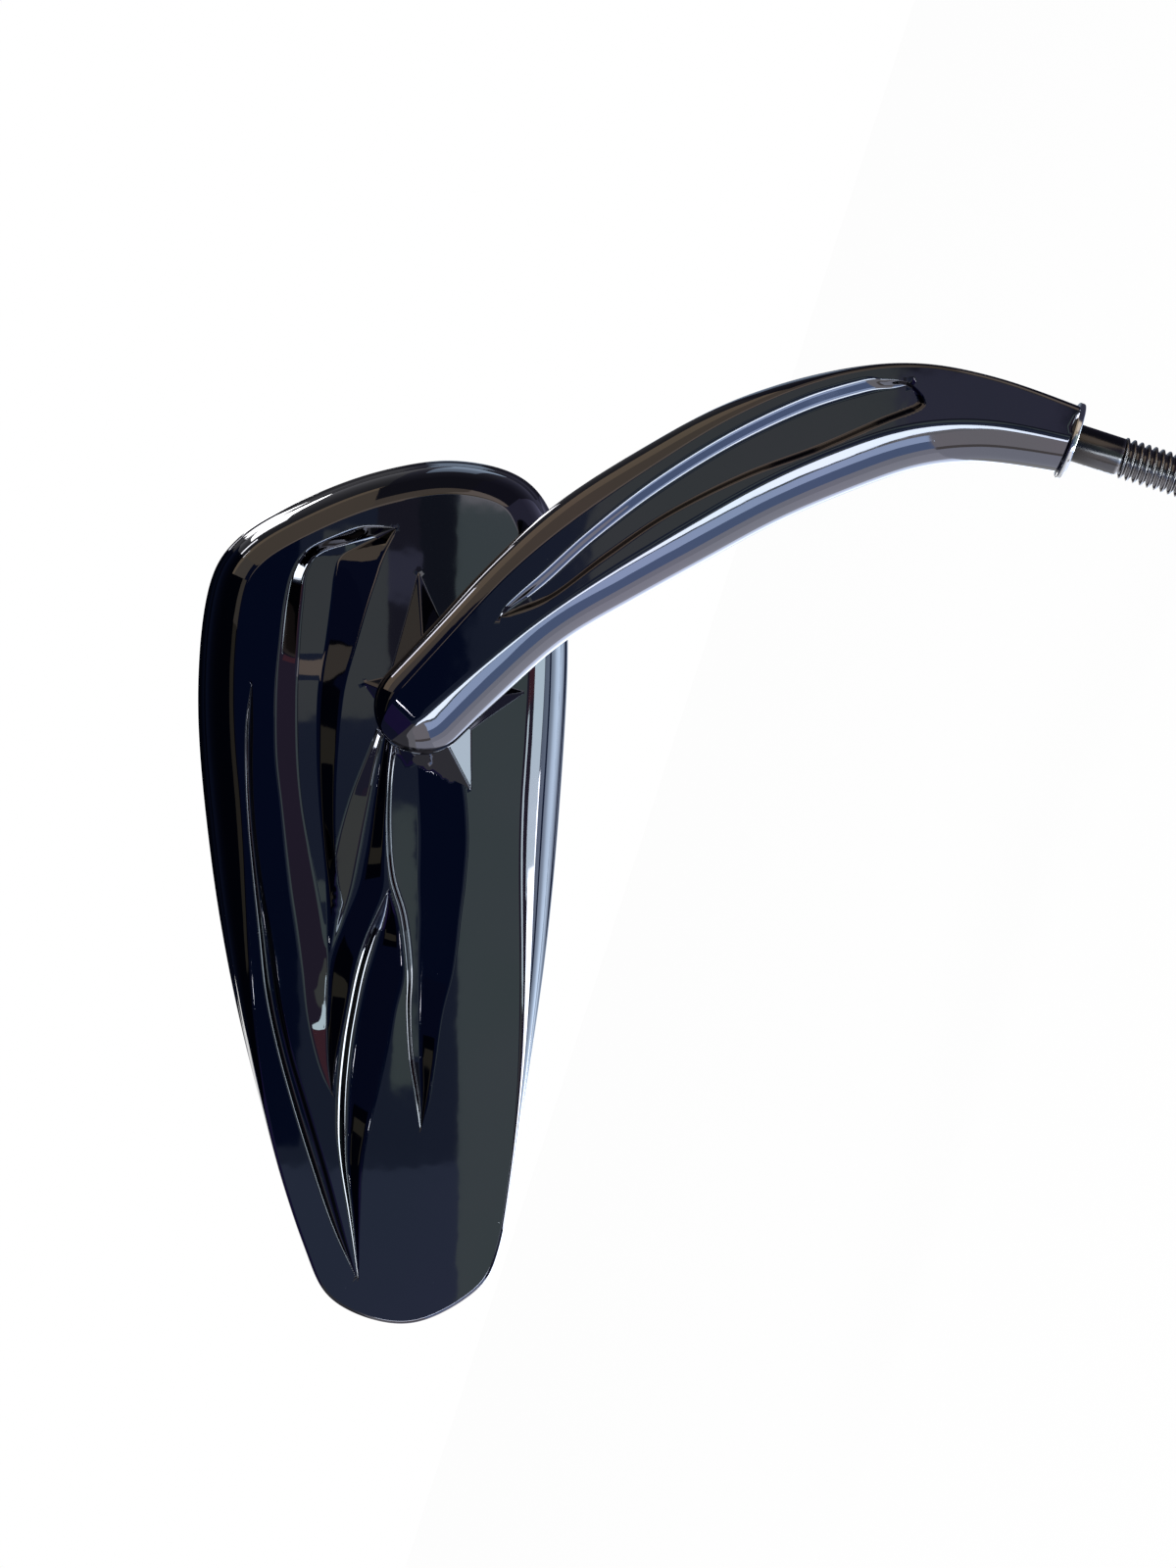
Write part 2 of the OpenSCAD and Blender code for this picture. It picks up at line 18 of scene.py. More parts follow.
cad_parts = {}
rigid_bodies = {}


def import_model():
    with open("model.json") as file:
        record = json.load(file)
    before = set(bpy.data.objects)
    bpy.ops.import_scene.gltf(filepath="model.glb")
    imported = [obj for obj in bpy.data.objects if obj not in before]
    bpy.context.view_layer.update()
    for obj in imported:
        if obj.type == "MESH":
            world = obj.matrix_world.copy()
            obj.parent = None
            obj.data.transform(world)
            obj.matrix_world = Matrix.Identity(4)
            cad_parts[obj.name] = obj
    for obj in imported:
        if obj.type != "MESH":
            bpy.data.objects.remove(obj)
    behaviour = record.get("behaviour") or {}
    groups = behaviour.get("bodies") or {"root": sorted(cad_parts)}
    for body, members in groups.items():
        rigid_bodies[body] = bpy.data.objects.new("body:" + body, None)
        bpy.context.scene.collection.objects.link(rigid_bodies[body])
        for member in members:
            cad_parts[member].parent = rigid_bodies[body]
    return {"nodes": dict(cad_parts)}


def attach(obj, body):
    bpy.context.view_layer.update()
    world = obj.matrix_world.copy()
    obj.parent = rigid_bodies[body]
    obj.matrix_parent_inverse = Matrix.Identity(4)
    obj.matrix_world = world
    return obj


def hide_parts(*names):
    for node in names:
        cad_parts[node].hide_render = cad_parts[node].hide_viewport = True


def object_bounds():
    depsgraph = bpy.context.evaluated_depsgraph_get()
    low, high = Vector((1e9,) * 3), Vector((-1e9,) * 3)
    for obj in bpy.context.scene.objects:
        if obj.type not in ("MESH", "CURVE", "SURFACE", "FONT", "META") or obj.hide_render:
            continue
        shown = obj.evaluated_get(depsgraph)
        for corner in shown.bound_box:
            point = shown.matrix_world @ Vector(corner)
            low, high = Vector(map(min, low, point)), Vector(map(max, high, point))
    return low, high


for default in list(bpy.data.objects):
    bpy.data.objects.remove(default)
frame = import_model()
cad_box = [list(corner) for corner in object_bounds()]
print("CAD nodes:", len(frame["nodes"]), "box:", cad_box)

# %% [markdown]
# ## Two frames
# The castings are easier to think about lying flat: x along the stud's side, y across and z
# out of the cast back. The head has its own axes too: u across, v along and w out of the
# back. Both are turned upright at the end by the functions below, in the same way as in the
# CAD source, and millimetres become metres there.

# %% Sizes that place the castings, in millimetres
# The stud's slope in the drawing plane, and the head's roll round its length.
STUD_SLOPE, HEAD_ROLL = math.radians(18), math.radians(-3)
# Where the head's axes cross, over the ball joint.
JOINT = np.array([-124.4, -50.2, -22.0])
# The lip's plane: how it slopes along the head, and its depth under the axes.
LIP_SLOPE, HEAD_DEPTH = math.tan(math.radians(4)), 20.0
MM = 0.001


def upright(points):
    """Drawing plane to the shared frame, in metres."""
    x, y, z = np.asarray(points, float).T
    s, c = math.sin(STUD_SLOPE), math.cos(STUD_SLOPE)
    return np.stack([x * s + y * c, -z, -x * c + y * s], axis=1) * MM


def from_head(points):
    """Head axes to the shared frame, in metres."""
    u, v, w = np.asarray(points, float).T
    s, c = math.sin(-HEAD_ROLL), math.cos(HEAD_ROLL)
    turned = np.stack([u * c + w * s, v, -u * s + w * c], axis=1)
    return upright(turned + JOINT)


print("The head's axes cross at %.1f, %.1f, %.1f mm" % tuple(upright([JOINT])[0] / MM))


# %% [markdown]
# ## Curves through a few points
# A die-cast part has flowing edges. Each is drawn with a few points, a smooth curve is laid
# through them, and a little averaging along the curve takes out the last unevenness, because
# a mirror-bright surface shows every kink.

# %% Curve helpers
def spline(points, steps, closed=False):
    """Smooth curve through the points, with that many steps between two of them."""
    p = np.asarray(points, float)
    n = len(p)
    t = (np.arange(steps) / steps)[:, None]
    out = []
    for i in range(n if closed else n - 1):
        a, b, c, d = (
            (p[(i - 1) % n], p[i], p[(i + 1) % n], p[(i + 2) % n])
            if closed
            else (p[max(i - 1, 0)], p[i], p[i + 1], p[min(i + 2, n - 1)])
        )
        out.append(0.5 * (2 * b + (c - a) * t + (2 * a - 5 * b + 4 * c - d) * t**2
                          + (3 * b - a - 3 * c + d) * t**3))
    if not closed:
        out.append(p[-1:])
    return np.concatenate(out)


def even(curve, n, closed=False):
    """n points at equal steps along a curve. The first two columns give the length."""
    c = np.concatenate([curve, curve[:1]]) if closed else curve
    along = np.concatenate([[0], np.cumsum(np.linalg.norm(np.diff(c[:, :2], axis=0), axis=1))])
    at = np.linspace(0, along[-1], n, endpoint=not closed)
    return np.stack([np.interp(at, along, c[:, k]) for k in range(c.shape[1])], axis=1)


def averaged(curve, spread, closed=False):
    """Gaussian average along an evenly stepped curve. spread counts steps."""
    reach = int(3 * spread) + 1
    weight = np.exp(-0.5 * (np.arange(-reach, reach + 1) / spread) ** 2)
    weight /= weight.sum()
    if closed:
        padded = np.concatenate([curve[-reach:], curve, curve[:reach]])
    else:
        first, last = curve[:1], curve[-1:]
        padded = np.concatenate([2 * first - curve[reach:0:-1], curve,
                                 2 * last - curve[-2:-reach - 2:-1]])
    return np.stack([np.convolve(padded[:, k], weight, "valid") for k in range(curve.shape[1])],
                    axis=1)


def unit(a):
    return a / np.linalg.norm(a, axis=-1, keepdims=True)


def smooth_step(t):
    """0 up to 0, 1 from 1 on and smooth between."""
    t = np.clip(t, 0, 1)
    return t * t * (3 - 2 * t)


# %% [markdown]
# ## The head's outline and its two main surfaces
# Seen from behind, the head is a long shield. Its lip lies in a plane that comes closer to
# the back towards the narrow tip, and the back itself is a gently crowned field inside a
# rolled rim. The lip could be a Bezier curve drawn by hand, but the rim, the wall and the
# glass all follow it, so it is worked out once as a closed row of points, and the rest is
# measured inwards from it.

# %% Lip curve, field and rim
LIP_POINTS = [
    # u, v, clockwise from the top
    (6.4, 51.2), (20.7, 47), (27.2, 35), (28.8, 14.4), (27.2, -16.7), (23.9, -50.7),
    (18.1, -88.8), (15, -107.5), (10.2, -116.4), (-3.9, -123), (-19, -118.2), (-25.1, -106.6),
    (-32.2, -84), (-38.7, -58.5), (-43.6, -30.5), (-46.4, 0), (-44.6, 24), (-38.6, 35),
    (-25.1, 43.1), (-9.5, 49),
]
ROUND = 720
LIP = averaged(even(spline(LIP_POINTS, 40, True), ROUND, True), 3.5, True)
lip_ahead = np.roll(LIP, -1, axis=0) - np.roll(LIP, 1, axis=0)
LIP_IN = unit(np.stack([lip_ahead[:, 1], -lip_ahead[:, 0]], axis=1))
# The rim's width at the top and at the tip. It narrows from RIM_FULL down, over RIM_FADE.
RIM_WIDE, RIM_TIP, RIM_FULL, RIM_FADE = 8.4, 1.2, -15.0, 80.0
# The band is the rim's inner share, which slopes down to its rolled part.
BAND_SHARE, BAND_DROP = 0.38, 1.3
# Wall, depth of the rebate that holds the glass, depth of the inner roof under the field.
WALL, REBATE, ROOF = 2.4, 5.0, 3.9
# The field's highest point, and how flat its crown is across and along.
FIELD_TOP, FIELD_U, FIELD_V = 0.373, -8.0, -30.0
CROWN_ACROSS, CROWN_ALONG = 520.0, 3600.0


def lip_w(v):
    return -HEAD_DEPTH - LIP_SLOPE * v


def field_w(u, v):
    return FIELD_TOP - (u - FIELD_U) ** 2 / CROWN_ACROSS - (v - FIELD_V) ** 2 / CROWN_ALONG


def rim_width(v):
    return RIM_TIP + (RIM_WIDE - RIM_TIP) * (1 - smooth_step((RIM_FULL - v) / RIM_FADE))


def rim_point(share, inset=0.0):
    return LIP + LIP_IN * (rim_width(LIP[:, 1]) * share + inset)[:, None]


def rim_ring(share, height, inset=0.0, floor=0.0, under=0.0):
    """Ring at that share of the rim's width and of the height between lip and rim edge.

    floor lifts its low end off the lip and under lowers its high end, for the inner wall.
    """
    p, e = rim_point(share, inset), rim_point(1 - BAND_SHARE, inset)
    low = lip_w(p[:, 1]) + floor
    high = field_w(*e.T) - BAND_DROP * rim_width(p[:, 1]) / RIM_WIDE - under
    return np.column_stack([p, low + (high - low) * height])


def lip_ring(inset, rise):
    p = LIP + LIP_IN * inset
    return np.column_stack([p, lip_w(p[:, 1]) + rise])


def field_ring(inset, drop):
    p = rim_point(1.0, inset)
    return np.column_stack([p, field_w(*p.T) - drop])


print("Lip: %.1f x %.1f mm" % tuple(np.ptp(LIP, axis=0)))

# %% [markdown]
# ## The flame hollows
# The relief is a set of long hollows with steep and shallow sides, which leave flame tongues
# between them. Each hollow is a row of stations from its tip down: its left and right edge,
# and where its floor starts and ends between them. A corner of the casting is never sharp,
# so each bend of the section is rounded over a short stretch. Sculpting could make them too,
# but its strokes never lie as still in a mirror finish as these worked-out sides.

# %% Stations of the hollows
# Each: u and v of the left edge, u and v of the right edge, then the floor's start and end as
# shares of the width between them.
SICKLE = [
    (-34.7, 4.6, -34.5, 4.6, 0.4, 0.6), (-35.7, -3, -34.4, -3.2, 0.3, 0.65),
    (-35.8, -12, -34.5, -12.5, 0.3, 0.65), (-35.3, -22, -34, -23, 0.28, 0.68),
    (-34.3, -33, -32.6, -34.5, 0.28, 0.68), (-33.1, -44, -30.7, -45.5, 0.25, 0.7),
    (-31.8, -56, -28.9, -58, 0.25, 0.7), (-29.6, -66.8, -26.6, -68.6, 0.25, 0.7),
    (-26.6, -78, -23.2, -80, 0.25, 0.7), (-22.9, -90, -19.8, -91.6, 0.25, 0.7),
    (-18.7, -102.5, -16.6, -103.6, 0.3, 0.65), (-14.2, -112.6, -14, -112.7, 0.4, 0.6),
]
BOLT = [
    (-6.3, 35.7, -6.1, 35.5, 0.4, 0.6), (-12.5, 35.9, -7.7, 32.5, 0.45, 0.6),
    (-18, 34.1, -8.5, 30.6, 0.33, 0.52), (-23.4, 31.3, -9.2, 28.6, 0.16, 0.46),
    (-26.3, 27.2, -10, 26, 0.14, 0.5), (-27.9, 21.2, -11.6, 21.2, 0.19, 0.56),
    (-28.9, 13, -14, 13, 0.23, 0.61), (-29.8, 3, -16.7, 3, 0.3, 0.65),
    (-29.8, -9, -17.9, -9, 0.34, 0.7), (-28.7, -19, -18.4, -19, 0.36, 0.75),
    (-27.8, -28, -18.2, -28.8, 0.46, 0.8), (-26.9, -36, -16.4, -36.5, 0.48, 0.7),
    (-25.7, -44, -14.6, -44, 0.45, 0.56), (-24.6, -52, -14.4, -51, 0.44, 0.48),
    (-23.5, -61, -16.2, -60, 0.45, 0.5), (-21.4, -70, -18, -69, 0.45, 0.55),
    (-19, -76.1, -18.8, -76.1, 0.45, 0.55),
]
SCOOP = [
    (-9.6, -4, -7.4, -6, 0.4, 0.7), (-12.4, -11, -7.9, -12, 0.45, 0.75),
    (-15, -17.6, -8.2, -18.6, 0.5, 0.72), (-17, -24.1, -8.5, -25, 0.5, 0.7),
    (-18.3, -29.5, -8.7, -30, 0.48, 0.66), (-19.4, -36, -9, -36, 0.42, 0.58),
    (-20.6, -43, -11.5, -42.6, 0.38, 0.5), (-22, -50, -14.3, -50.4, 0.38, 0.46),
    (-22, -58, -15.8, -58, 0.4, 0.48), (-21, -68, -17.9, -68, 0.45, 0.55),
    (-19, -76.1, -18.8, -76.1, 0.45, 0.55),
]
SPEAR = [
    (-7.8, -36.2, -7.6, -36.3, 0.35, 0.6), (-9.6, -40.6, -6.3, -41.6, 0.25, 0.5),
    (-11.8, -45.6, -5.5, -46.6, 0.2, 0.42), (-13.8, -52, -5, -53, 0.16, 0.3),
    (-15.2, -59, -6.6, -60, 0.15, 0.28), (-16.5, -66.5, -7.9, -67.5, 0.16, 0.28),
    (-17.4, -75, -9.9, -76, 0.19, 0.33), (-17.6, -83, -12, -84, 0.24, 0.42),
    (-16.9, -91, -13.2, -91.5, 0.22, 0.42), (-15.4, -101, -13.5, -101, 0.3, 0.5),
    (-13.7, -113, -13.5, -113, 0.4, 0.6),
]
LANCE = [
    (-6.6, -6, 3.4, -6.5, 0.06, 0.45), (-7.6, -14, 6.8, -14, 0.04, 0.4),
    (-7.9, -24.5, 7.9, -24.5, 0.04, 0.41), (-7.2, -33.5, 7.4, -33.5, 0.05, 0.39),
    (-5, -41.5, 6.3, -42, 0.07, 0.33), (-3.8, -52, 5, -52, 0.08, 0.27),
    (-3.9, -60, 2.8, -60.5, 0.08, 0.38), (-3.4, -69, 1.4, -69.5, 0.1, 0.46),
    (-2.2, -77, 0.2, -77.3, 0.2, 0.5), (-1.4, -83.4, -1.2, -83.4, 0.4, 0.6),
]
HOLLOW_DEPTH = 2.2
# Rounding of the bends at the edges and at the floor, and of all bends of the spear.
EDGE, FOOT, SPEAR_SOFT = 0.4, 0.5, 0.62
print("Stations:", sum(len(s) for s in (SICKLE, BOLT, SCOOP, SPEAR, LANCE)))


# %% [markdown]
# A hollow answers two questions. How deep is it at a point of the field? And where should
# the mesh have rows of points, so that its bends are met exactly? Both follow from stations
# laid half a millimetre apart.

# %% A hollow as a small class
def soft_ramp(x, e):
    """0 before a bend and x after it, rounded over e on either side."""
    return np.where(x > e, x, np.where(x < -e, 0, (x + e) ** 2 / (4 * e)))


# Rows of points beside a bend, as shares of the room there.
BEND_ROWS = (-0.5, -0.34, -0.17, 0, 0.17, 0.34, 0.5)
# A rounding takes up to this share of the wall or floor beside its bend.
MOST_ROUND = 0.45
# Points worked on at a time, which keeps the tables small.
BATCH = 4000


class Hollow:
    """A hollow along its stations.

    cap keeps its depth under that share of its width, so that it runs out at its ends.
    rise is (from v, to v, share): between the two the floor comes up by that share.
    lean sinks the floor's right side and lifts its left side by that share of the depth.
    """

    def __init__(self, stations, depth, edge=EDGE, foot=FOOT, cap=0.35, step=0.45, rise=None,
                 lean=0.0):
        fine = spline(stations, 30)
        length = np.linalg.norm(np.diff((fine[:, :2] + fine[:, 2:4]) / 2, axis=0), axis=1).sum()
        fine = even(fine, max(int(length / step), 8))
        self.left, self.right = fine[:, :2], fine[:, 2:4]
        self.width = np.linalg.norm(self.right - self.left, axis=1)
        self.depth = np.minimum(depth, self.width * cap)
        if rise:
            high, low, share = rise
            self.depth *= 1 - share * smooth_step((high - fine[:, 1]) / (high - low))
        self.lo, self.hi = fine[:, 4], fine[:, 5]
        self.edge, self.foot, self.lean = edge, foot, lean

    def section(self, x, width, depth, lo, hi):
        """Depth at distance x from the left edge."""
        a, b = lo * width, hi * width
        left = depth * (1 - self.lean) / a
        right = depth * (1 + self.lean) / (width - b)
        floor = 2 * depth * self.lean / (b - a)
        e_l = np.minimum(self.edge, MOST_ROUND * a)
        e_r = np.minimum(self.edge, MOST_ROUND * (width - b))
        f_l = np.minimum(self.foot, MOST_ROUND * np.minimum(a, b - a))
        f_r = np.minimum(self.foot, MOST_ROUND * np.minimum(width - b, b - a))
        return (left * soft_ramp(x, e_l) + (floor - left) * soft_ramp(x - a, f_l)
                - (floor + right) * soft_ramp(x - b, f_r) + right * soft_ramp(x - width, e_r))

    def depth_at(self, p):
        """Depth at points (n, 2), 0 outside the hollow."""
        out = np.zeros(len(p))
        low = np.minimum(self.left, self.right).min(axis=0) - 1
        high = np.maximum(self.left, self.right).max(axis=0) + 1
        near = np.where(((p > low) & (p < high)).all(axis=1))[0]
        across = self.right - self.left
        for part in np.array_split(near, max(len(near) // BATCH, 1)):
            q = p[part][:, None] - self.left[None]
            # How far a point lies past each station's line, and how far along that line. It
            # lies between the two stations where the first changes its sign.
            side = (across[:, 0] * q[..., 1] - across[:, 1] * q[..., 0]) / self.width
            t = (q * across).sum(axis=2) / self.width**2
            swap = (side[:, :-1] * side[:, 1:] <= 0) & (side[:, :-1] != side[:, 1:])
            share = np.where(swap, side[:, :-1] / (side[:, :-1] - side[:, 1:] + 1e-12), 0)
            at = t[:, :-1] * (1 - share) + t[:, 1:] * share
            best = np.where(swap, np.abs(at - 0.5), 1e9).argmin(axis=1)
            row = np.arange(len(part))
            ok = swap[row, best]
            f = share[row, best]

            def mix(a):
                return a[best] * (1 - f) + a[best + 1] * f

            width = mix(self.width)
            value = self.section(at[row, best] * width, width, mix(self.depth), mix(self.lo),
                                 mix(self.hi))
            out[part] = np.where(ok, np.maximum(value, 0), 0)
        return out

    def rows(self):
        """Points along the four bends and close beside them."""
        out = []
        along = unit(self.right - self.left)
        reach = 2 * max(self.edge, self.foot, 0.5)
        room = np.minimum(self.width * 0.5, reach)[:, None]
        for share in (np.zeros_like(self.lo), self.lo, self.hi, np.ones_like(self.lo)):
            base = self.left + (self.right - self.left) * share[:, None]
            for off in BEND_ROWS:
                out.append(base + along * off * room)
        return np.concatenate(out)


HOLLOWS = [
    Hollow(SICKLE, HOLLOW_DEPTH * 0.55),
    Hollow(BOLT, HOLLOW_DEPTH, rise=(12, 4, 0.2), lean=0.05),
    Hollow(SCOOP, HOLLOW_DEPTH * 0.8, cap=0.29),
    Hollow(SPEAR, HOLLOW_DEPTH * 0.85, edge=SPEAR_SOFT, foot=SPEAR_SOFT),
    Hollow(LANCE, HOLLOW_DEPTH * 0.75),
]
print("Deepest of each hollow, mm:", [round(h.depth.max(), 2) for h in HOLLOWS])

# %% [markdown]
# ## The star boss
# The arm's ball joint sits in a round boss, and pointed ridges run out from it over the
# field. A ridge is half a slim pyramid: highest at the boss, level with the field at its
# tip and falling away to both sides. Cones could be joined to the field by booleans, but
# their cuts leave slivers, so the star is a height too, and the higher surface wins.

# %% Star and boss heights
# Each point: u and v of its tip, and half its width at the middle.
STAR = [(-1.7, 27, 8.5), (19.6, 3.2, 9), (8.8, -16.5, 8), (-12.5, 5, 8.5), (9, 16, 8)]
STAR_TOP, STAR_FOOT, RIDGE_ROUND, FAR_BELOW = 5.16, 0.6, 0.02, -9.0
# The boss: height, radius, slope of its side and rounding of its edge.
BOSS_TOP, BOSS_R, BOSS_SLOPE, BOSS_ROUND = 6.0, 7.4, 4.6, 0.3
# Radius of its mouth, and of the flat ring round that.
MOUTH_R, BOSS_FLAT = 5.6, 6.3
# How softly star, boss and hollows run into one another.
STAR_BLEND, BOSS_BLEND, HOLLOW_POWER = 0.1, 0.25, 5


def star_w(p):
    """Height of the star's ridges, far below the field where there are none."""
    out = np.full(len(p), FAR_BELOW)
    for u, v, half in STAR:
        reach = math.hypot(u, v)
        along = (p[:, 0] * u + p[:, 1] * v) / reach
        beside = np.abs(p[:, 1] * u - p[:, 0] * v) / reach
        beside = np.sqrt(beside**2 + RIDGE_ROUND)
        foot = field_w(u, v)
        ridge = STAR_TOP - (STAR_TOP - foot) * along / reach
        w = ridge - (STAR_TOP - STAR_FOOT) * beside / half
        # A ridge starts just behind the boss's middle.
        out = np.where(along > -1, np.maximum(out, w), out)
    return out


def smooth_max(a, b, k):
    """The larger of two heights, blended where they differ by less than k."""
    h = np.clip(0.5 + (a - b) / (2 * k), 0, 1)
    return b + (a - b) * h + k * h * (1 - h)


def back_w(p):
    """Height of the whole cast back, relief, star and boss together."""
    hollow = sum(h.depth_at(p) ** HOLLOW_POWER for h in HOLLOWS) ** (1 / HOLLOW_POWER)
    w = smooth_max(star_w(p), field_w(*p.T) - hollow, STAR_BLEND)
    cone = BOSS_TOP - soft_ramp(np.hypot(*p.T) - BOSS_R, BOSS_ROUND) * BOSS_SLOPE
    return smooth_max(cone, w, BOSS_BLEND)


print("Ridge halfway out, mm above the field:", [
    round(float(star_w(np.array([[u / 2, v / 2]]))[0] - field_w(u / 2, v / 2)), 2)
    for u, v, _ in STAR])


# %% [markdown]
# ## A mesh that follows the flames
# The shine shows the smallest error, so the mesh needs an edge wherever the surface bends.
# The knife tool could draw those edges by hand, but it needs a window. Here the points are
# laid in rows along the bends, a coarse pattern fills the rest, and Blender's own Delaunay
# triangulation joins them. Exact normals from the height function then make the shading
# smooth.

# %% Choosing points
def thinned(points, cell):
    """One point for each cell of a fine grid, the earlier one kept."""
    key = np.round(points / cell).astype(np.int64)
    _, first = np.unique(key, axis=0, return_index=True)
    return points[np.sort(first)]


def inside(points, loop):
    """True where a point lies inside a closed outline."""
    out = np.zeros(len(points), bool)
    a, b = loop, np.roll(loop, -1, axis=0)
    for part in np.array_split(np.arange(len(points)), max(len(points) // BATCH, 1)):
        x, y = points[part, 0][:, None], points[part, 1][:, None]
        up = (a[:, 1] > y) != (b[:, 1] > y)
        with np.errstate(divide="ignore", invalid="ignore"):
            at = (b[:, 0] - a[:, 0]) * (y - a[:, 1]) / (b[:, 1] - a[:, 1]) + a[:, 0]
        out[part] = (up & (x < at)).sum(axis=1) % 2 == 1
    return out


def within(points, loops):
    """True where a point lies inside the first loop and in none of the others."""
    keep = inside(points, loops[0])
    for hole in loops[1:]:
        keep &= ~inside(points, hole)
    return keep


def near_any(points, others, distance):
    """True where a point has one of the others within about that distance."""
    cell = distance / 2
    taken = set(map(tuple, np.floor(others / cell).astype(int)))
    base = np.floor(points / cell).astype(int)
    steps = [(i, j) for i in range(-2, 3) for j in range(-2, 3) if abs(i) + abs(j) < 4]
    found = [any((x + i, y + j) in taken for i, j in steps) for x, y in base]
    return np.array(found, dtype=bool)


# %% Triangles of an open sheet
# Finest spacing kept between rows, their distance from the outline, and how close together
# the lines of a pattern of equal triangles lie.
ROW_CELL, ROW_MARGIN, LINE_STEP = 0.06, 0.12, 0.866


def pattern(outer, pitch):
    """Points of a pattern of equal triangles over the outline's box."""
    low, high = outer.min(axis=0), outer.max(axis=0)
    xs = np.arange(low[0], high[0], pitch)
    ys = np.arange(low[1], high[1], pitch * LINE_STEP)
    return np.array([(x + (j % 2) * pitch / 2, y) for j, y in enumerate(ys) for x in xs])


def sheet(outer, holes, rows, pitch):
    """Triangles over the outline, less its holes. The loops' points come first."""
    loops = [outer] + holes
    edge_points = np.concatenate(loops)
    rows = thinned(rows, ROW_CELL)
    rows = rows[within(rows, loops)]
    rows = rows[~near_any(rows, edge_points, ROW_MARGIN)]
    grid = pattern(outer, pitch)
    grid = grid[within(grid, loops)]
    grid = grid[~near_any(grid, np.concatenate([edge_points, rows]), pitch * 0.6)]
    points = np.concatenate([edge_points, rows, grid])
    edges, at = [], 0
    for loop in loops:
        n = len(loop)
        edges += [(at + i, at + (i + 1) % n) for i in range(n)]
        at += n
    out, _, faces, _, _, _ = delaunay_2d_cdt([Vector(p) for p in points], edges, [], 0, 1e-7)
    assert len(out) == len(points), "the triangulation added points"
    flat, faces = np.array([tuple(p) for p in out]), np.array(faces)
    # The loops are read back, because the triangulation rounds its points.
    ends = np.cumsum([len(loop) for loop in loops])
    loops = np.split(flat[:ends[-1]], ends[:-1])
    return flat, faces[within(flat[faces].mean(axis=1), loops)]


def height_normals(points, height, h=0.03):
    """Normals of a height function, by small steps to the sides."""
    dx = (height(points + (h, 0)) - height(points - (h, 0))) / (2 * h)
    dy = (height(points + (0, h)) - height(points - (0, h))) / (2 * h)
    return unit(np.stack([-dx, -dy, np.ones(len(points))], axis=1))


# %% [markdown]
# ## Assembling a casting
# A casting is one closed skin: rings of points joined by quads, and a sheet where the relief
# is. Extruding by hand could draw the rings, but not join them to the sheet's many points, so
# this small builder collects both, joins them by the numbers of their points and makes the
# object.

# %% Casting builder
class Skin:
    """Points and faces of one closed skin, with exact normals where they are known."""

    def __init__(self):
        self.points, self.faces, self.normals, self.count = [], [], [], 0

    def add(self, points, normals=None):
        """Adds points and gives the index of the first."""
        first = self.count
        self.points.append(np.asarray(points, float))
        self.normals.append(np.zeros((len(points), 3)) if normals is None else normals)
        self.count += len(points)
        return first

    def join(self, a, b, n, flip=False):
        """Quads between two rings that start at a and b."""
        i = np.arange(n)
        j = (i + 1) % n
        quad = np.stack([a + i, a + j, b + j, b + i], axis=1)
        self.faces += (quad[:, ::-1] if flip else quad).tolist()

    def rings(self, rings, flip=False, start=None):
        """Rings joined one after the other. Gives the first index of each."""
        at = [] if start is None else [start]
        for ring in rings:
            at.append(self.add(ring))
        for a, b in zip(at, at[1:]):
            self.join(a, b, len(rings[0]), flip)
        return at

    def build(self, name, place):
        """The object, carried to its place. Rows of zeros stand for normals not known."""
        points = np.concatenate(self.points)
        normals = np.concatenate(self.normals)
        mesh = bpy.data.meshes.new(name)
        mesh.from_pydata(place(points).tolist(), [], [list(f) for f in self.faces])
        bm = bmesh.new()
        bm.from_mesh(mesh)
        bmesh.ops.recalc_face_normals(bm, faces=bm.faces)
        bm.to_mesh(mesh)
        bm.free()
        mesh.shade_smooth()
        mesh.update()
        exact = np.linalg.norm(normals, axis=1) > 0.5
        if exact.any():
            turned = place(points + normals) - place(points)
            own = np.empty(len(points) * 3)
            mesh.vertex_normals.foreach_get("vector", own)
            own = own.reshape(-1, 3)
            own[exact] = unit(turned[exact])
            mesh.normals_split_custom_set_from_vertices(own.tolist())
        obj = bpy.data.objects.new(name, mesh)
        bpy.context.scene.collection.objects.link(obj)
        print(name, "faces:", len(mesh.polygons))
        return obj


# %% [markdown]
# ## The head casting
# Going round the skin: from the edge of the relief out over the sloping band, down the
# rolled rim to the lip, across the lip, down the glass rebate, along the inner wall to the
# inner roof, down the socket of the ball joint, up its bore and out of the boss's mouth. A
# Solidify modifier would give a wall too, but not the lip, the rebate and the socket, so the
# inside is drawn ring by ring like the outside.

# %% Rings of the rim and the room
# Share of the rim's width, and of its height between lip and band.
RIM_PROFILE = [
    (0, 0.08), (0.03, 0.12), (0.1, 0.18), (0.17, 0.3), (0.23, 0.46), (0.29, 0.62), (0.36, 0.77),
    (0.46, 0.89), (0.55, 0.96), (0.62, 1),
]
INNER_PROFILE = [(0.17, 0), (0.25, 0.3), (0.34, 0.65), (0.5, 0.88)]
LIP_WALL = 1.55
# Inset from the lip's outline, and height over its plane.
LIP_PROFILE = [
    (0, 0.25), (0.07, 0.07), (0.25, 0), (LIP_WALL - 0.2, 0), (LIP_WALL, 0.2), (LIP_WALL, REBATE),
]
# Rings across the crease between field and band, and its rounding.
CREASE_ROWS = (0.8, 0.55, 0.35, 0.2, 0.08, 0, -0.08, -0.2, -0.35, -0.6)
CREASE_ROUND, CREASE_SHARE, FULL_CREASE = 0.35, 0.25, 3


